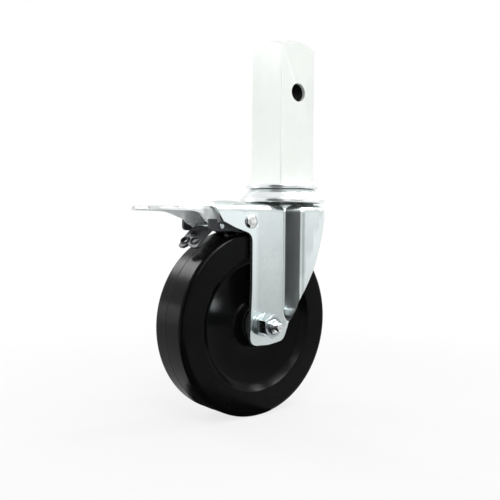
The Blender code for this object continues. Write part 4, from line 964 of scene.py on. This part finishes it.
def make_pedal():
    neck = 0.0133
    half = PEDAL_HALF
    deep = 0.0145
    edge = 0.0026
    tip = 0.0500
    heel = 0.0215 / 2.5
    stations = [(-heel, neck, deep - 0.0085), (-heel + 0.0021, neck, deep - 0.0050),
                (-0.0040, neck, deep - 0.0022), (-0.0024, neck, deep - 0.0005), (0.0, neck, deep),
                (0.0024, neck, deep - 0.0006), (0.0042, neck, deep - 0.0021), (0.0082, neck, deep - 0.0041),
                (0.0104, neck + 0.0002, deep - 0.0066), (0.0133, neck + 0.0022, deep - 0.0083),
                (0.0163, half - 0.0008, deep - 0.0098), (0.0208, half, edge + 0.0006), (0.0255, half, edge),
                (tip - 0.0080, half, edge), (tip - 0.0052, half - 0.0010, edge),
                (tip - 0.0026, half - 0.0028, edge), (tip - 0.0008, half - 0.0054, edge),
                (tip, half - 0.0084, edge)]
    fine = []
    for (a0, h0, d0), (a1, h1, d1) in zip(stations, stations[1:]):
        for step in range(4):
            t = step / 4
            fine.append((a0 + (a1 - a0) * t, h0 + (h1 - h0) * t, d0 + (d1 - d0) * t))
    fine.append(stations[-1])
    smooth = []
    for index, (ahead, wide, depth) in enumerate(fine):
        group = fine[max(index - 2, 0):index + 3] if 1 < index < len(fine) - 2 else [fine[index]]
        smooth.append((ahead, sum(g[1] for g in group) / len(group), sum(g[2] for g in group) / len(group)))

    def build(work):
        rows = []
        for ahead, wide, depth in smooth:
            x = TOGGLE.x - ahead
            bend = 0.0022
            side = [(wide, PEDAL_TOP - depth), (wide, PEDAL_TOP - (depth + bend) / 2)]
            side += arc((wide - bend, PEDAL_TOP - bend), bend, 0, 90, 9)
            row = side + [(0, PEDAL_TOP)] + [(-y, z) for y, z in reversed(side)]
            rows.append([work.verts.new((x, y, z)) for y, z in row])
        for back, front in zip(rows, rows[1:]):
            for k in range(len(back) - 1):
                work.faces.new((back[k], front[k], front[k + 1], back[k + 1]))

    pedal = add("pedal_dressed", to_mesh("pedal_dressed", build))
    thicken(pedal, 0.0020)
    middle = TOGGLE.x - tip + 0.0117
    for side in (1, -1):
        inner, outer = sorted((side * (half - 0.0026), side * (half + 0.001)))
        slot = box("slot", (middle - 0.00415, inner, PEDAL_TOP - 0.0013),
                   (middle + 0.00415, outer, PEDAL_TOP + 0.0005))
        boolean(pedal, slot, "DIFFERENCE")
    boolean(pedal, rod("toggle_drill", TOGGLE_HOLE, -0.03, 0.03, TOGGLE), "DIFFERENCE")
    ease_edges(pedal, 0.00022, 52.0)
    finish_piece(pedal, "pedal", PEDAL_ZINC_PAINTED_LIGHT, "pedal_zinc", "pedal", sharp=34.0)


def make_pins():
    pivot = domed_pin("pivot_dressed", PIVOT, LEG_OUTER + GAP, 0.0030, 0.00475, 0.0024)
    finish_piece(pivot, "fork", PIN_STEEL, "bright_steel", "pivot_pin")
    toggle = domed_pin("toggle_dressed", TOGGLE, LEVER_HALF + GAP, 0.0014, 0.0019, 0.0006)
    finish_piece(toggle, "lever", SCREW_ZINC, "fastener_zinc", "toggle_pin")
    for name in ("pivot_spacer_near", "pivot_spacer_far"):
        low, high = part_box(name)
        spacer = collar(name + "_dressed", 0.0046, PIVOT_HOLE, -high.y, -low.y, PIVOT, 0.0002, 3, 64)
        finish_piece(spacer, "fork", BRIGHT, "bright_steel", name)


def make_spring():
    curve = bpy.data.curves.new("spring_dressed", "CURVE")
    curve.dimensions = "3D"
    curve.bevel_depth = 0.0007
    curve.bevel_resolution = 4
    curve.use_fill_caps = True
    turns, pitch, radius, per_turn = 4, 0.0017, 0.0052, 32
    points = []
    for step in range(turns * per_turn + 12):
        angle = 2 * math.pi * step / per_turn + math.radians(70)
        points.append((PIVOT.x + radius * math.cos(angle), pitch * (step / per_turn - turns / 2),
                       PIVOT.z + radius * math.sin(angle)))
    last = points[-1]
    points = [(PIVOT.x + 0.0150, points[0][1], -0.0181)] + points
    points.append((last[0] - 0.004, last[1] + 0.0006, last[2] - 0.0006))
    spring = add("spring_dressed", drawn_mesh(curve, [points], False))
    finish_piece(spring, "fork", BRIGHT, "bright_steel", "return_spring")


def dress_the_rest():
    """Materials for the CAD nodes that stay: the bearing and the ball cages."""
    for name, node in NODES.items():
        if node.hide_render:
            continue
        skin = NYLON if "cage" in name and "ball" in name else BEARING
        node.data.materials.clear()
        node.data.materials.append(skin)


# Room

def make_room():
    """A pale floor that fades to white, and a world that is white where it is seen."""
    floor = add("floor", to_mesh("floor", lambda work: bmesh.ops.create_grid(
        work, x_segments=8, y_segments=8, size=6.0)))
    floor.location = (0, 0, FLOOR)
    n = Nodes("floor paper")
    n.set(Base_Color=n.ramp(n.noise(3.0), (0.3, 0.90), (0.7, 0.92)), Roughness=0.7)
    glow = new_node(n.tree, "Emission", Color=(1, 1, 1))
    reach = new_node(n.tree, "VectorMath", {"operation": "LENGTH"}, Vector=n.place)
    fade = new_node(n.tree, "MapRange", {"interpolation_type": "SMOOTHSTEP"}, Value=reach.outputs["Value"],
                    From_Min=0.08, From_Max=0.42, To_Min=0.78, To_Max=1.0)
    seen = either(n.tree, "Is Camera Ray", "Is Glossy Ray")
    share = combine(n.tree, "MULTIPLY", seen, fade.outputs["Result"])
    blend = new_node(n.tree, "MixShader", Fac=share)
    n.tree.links.new(n.shader.outputs["BSDF"], blend.inputs[1])
    n.tree.links.new(glow.outputs["Emission"], blend.inputs[2])
    fill(n.tree, n.tree.nodes["Material Output"], Surface=blend.outputs["Shader"])
    floor.data.materials.append(n.material)

    world = bpy.data.worlds.new("studio")
    bpy.context.scene.world = world
    world.use_nodes = True
    tree = world.node_tree
    seen = either(tree, "Is Camera Ray", "Is Glossy Ray", "Is Transmission Ray")
    level = new_node(tree, "MapRange", Value=seen, To_Min=0.45, To_Max=1.0)
    fill(tree, tree.nodes["Background"], Color=(1, 1, 1), Strength=level.outputs["Result"])


MIDDLE = (-0.02, 0.0, -0.05)


def aim(made, place, target):
    made.location = place
    made.rotation_euler = (Vector(target) - Vector(place)).to_track_quat("-Z", "Y").to_euler()


def soft_box(name, place, size, power):
    light = bpy.data.lights.new(name, "AREA")
    light.shape = "RECTANGLE"
    light.size, light.size_y = size
    light.energy = power
    aim(add(name, light), place, MIDDLE)


def flag(name, place, size, low, high, target=MIDDLE, side=0.0):
    """A studio card that only gloss sees, shaded from its foot to its head and to one side."""
    card = add(name, to_mesh(name, lambda work: bmesh.ops.create_grid(
        work, x_segments=2, y_segments=2, size=0.5, matrix=Matrix.Diagonal((*size, 1, 1)))))
    aim(card, place, target)
    n = Nodes(name + " card")
    apart = new_node(n.tree, "SeparateXYZ", Vector=n.place)
    shade = new_node(n.tree, "MapRange", Value=apart.outputs["Y"], From_Min=-size[1] / 2,
                     From_Max=size[1] / 2, To_Min=low, To_Max=high)
    across = new_node(n.tree, "MapRange", {"interpolation_type": "SMOOTHSTEP"}, Value=apart.outputs["X"],
                      From_Min=-size[0] * 0.1, From_Max=size[0] / 2, To_Max=side)
    strength = combine(n.tree, "ADD", shade.outputs["Result"], across.outputs["Result"])
    glow = new_node(n.tree, "Emission", Strength=strength)
    fill(n.tree, n.tree.nodes["Material Output"], Surface=glow.outputs["Emission"])
    card.data.materials.append(n.material)
    for ray in ("camera", "diffuse", "shadow", "transmission"):
        setattr(card, "visible_" + ray, False)


def make_lights():
    soft_box("key", (-0.45, -0.70, 0.75), (0.5, 0.5), 4.4)
    soft_box("fill", (0.62, -0.36, 0.62), (0.2, 0.2), 1.2)
    soft_box("rim", (-0.33, 0.80, 0.50), (0.40, 0.20), 2.2)
    flag("right card", (0.155, -0.205, -0.075), (0.34, 0.170), 0.55, 1.30)
    flag("front card", (-0.240, -0.135, -0.030), (0.21, 0.255), 0.01, 0.02, side=0.14)
    flag("camera card", (0.010, -0.300, -0.060), (0.25, 0.200), 0.55, 0.65)
    flag("corner card", (-0.236, -0.148, 0.170), (0.18, 0.150), 0.03, 0.60)
    flag("back card", (-0.420, 0.420, -0.060), (0.26, 0.140), 1.5, 3.0)
    flag("lip card left", (0.62, 0.12, 0.25), (0.26, 0.20), 1.8, 1.8)
    flag("lip card middle", (0.45, -0.11, 0.50), (0.26, 0.20), 14.0, 14.0)
    flag("lip card right", (0.06, -0.38, 0.62), (0.36, 0.24), 24.0, 24.0)
    flag("floor card", (-0.150, -0.100, FLOOR + 0.001), (0.26, 0.26), 0.02, 0.02, (-0.150, -0.100, 0.0))


def make_camera():
    azimuth, elevation, roll = math.radians(-39.526), math.radians(2.264), math.radians(0.497)
    back = Vector((math.sin(azimuth) * math.cos(elevation), -math.cos(azimuth) * math.cos(elevation),
                   math.sin(elevation)))
    right = Vector((math.cos(azimuth), math.sin(azimuth), 0))
    up = back.cross(right)
    across = right * math.cos(roll) + up * math.sin(roll)
    over = up * math.cos(roll) - right * math.sin(roll)
    data = bpy.data.cameras.new("camera")
    data.sensor_width = 36.0
    data.lens = 671.3 / 500 * 36.0
    data.clip_start = 0.01
    camera = add("camera", data)
    place = Vector((-0.017645, 0.014559, -0.046938)) + back * 0.4875
    camera.matrix_world = Matrix.Translation(place) @ Matrix((across, over, back)).transposed().to_4x4()
    bpy.context.scene.camera = camera


make_camera()
make_stem()
make_weld("weld_front_dressed", 1, "weld_bead_front")
make_weld("weld_back_dressed", -1, "weld_bead_back")
make_disc()
make_cap()
make_inner_head()
make_fork()
make_wheel()
make_axle()
make_lever()
make_pedal()
make_pins()
make_spring()
dress_the_rest()
make_room()
make_lights()
bpy.context.scene.view_settings.view_transform = "Standard"
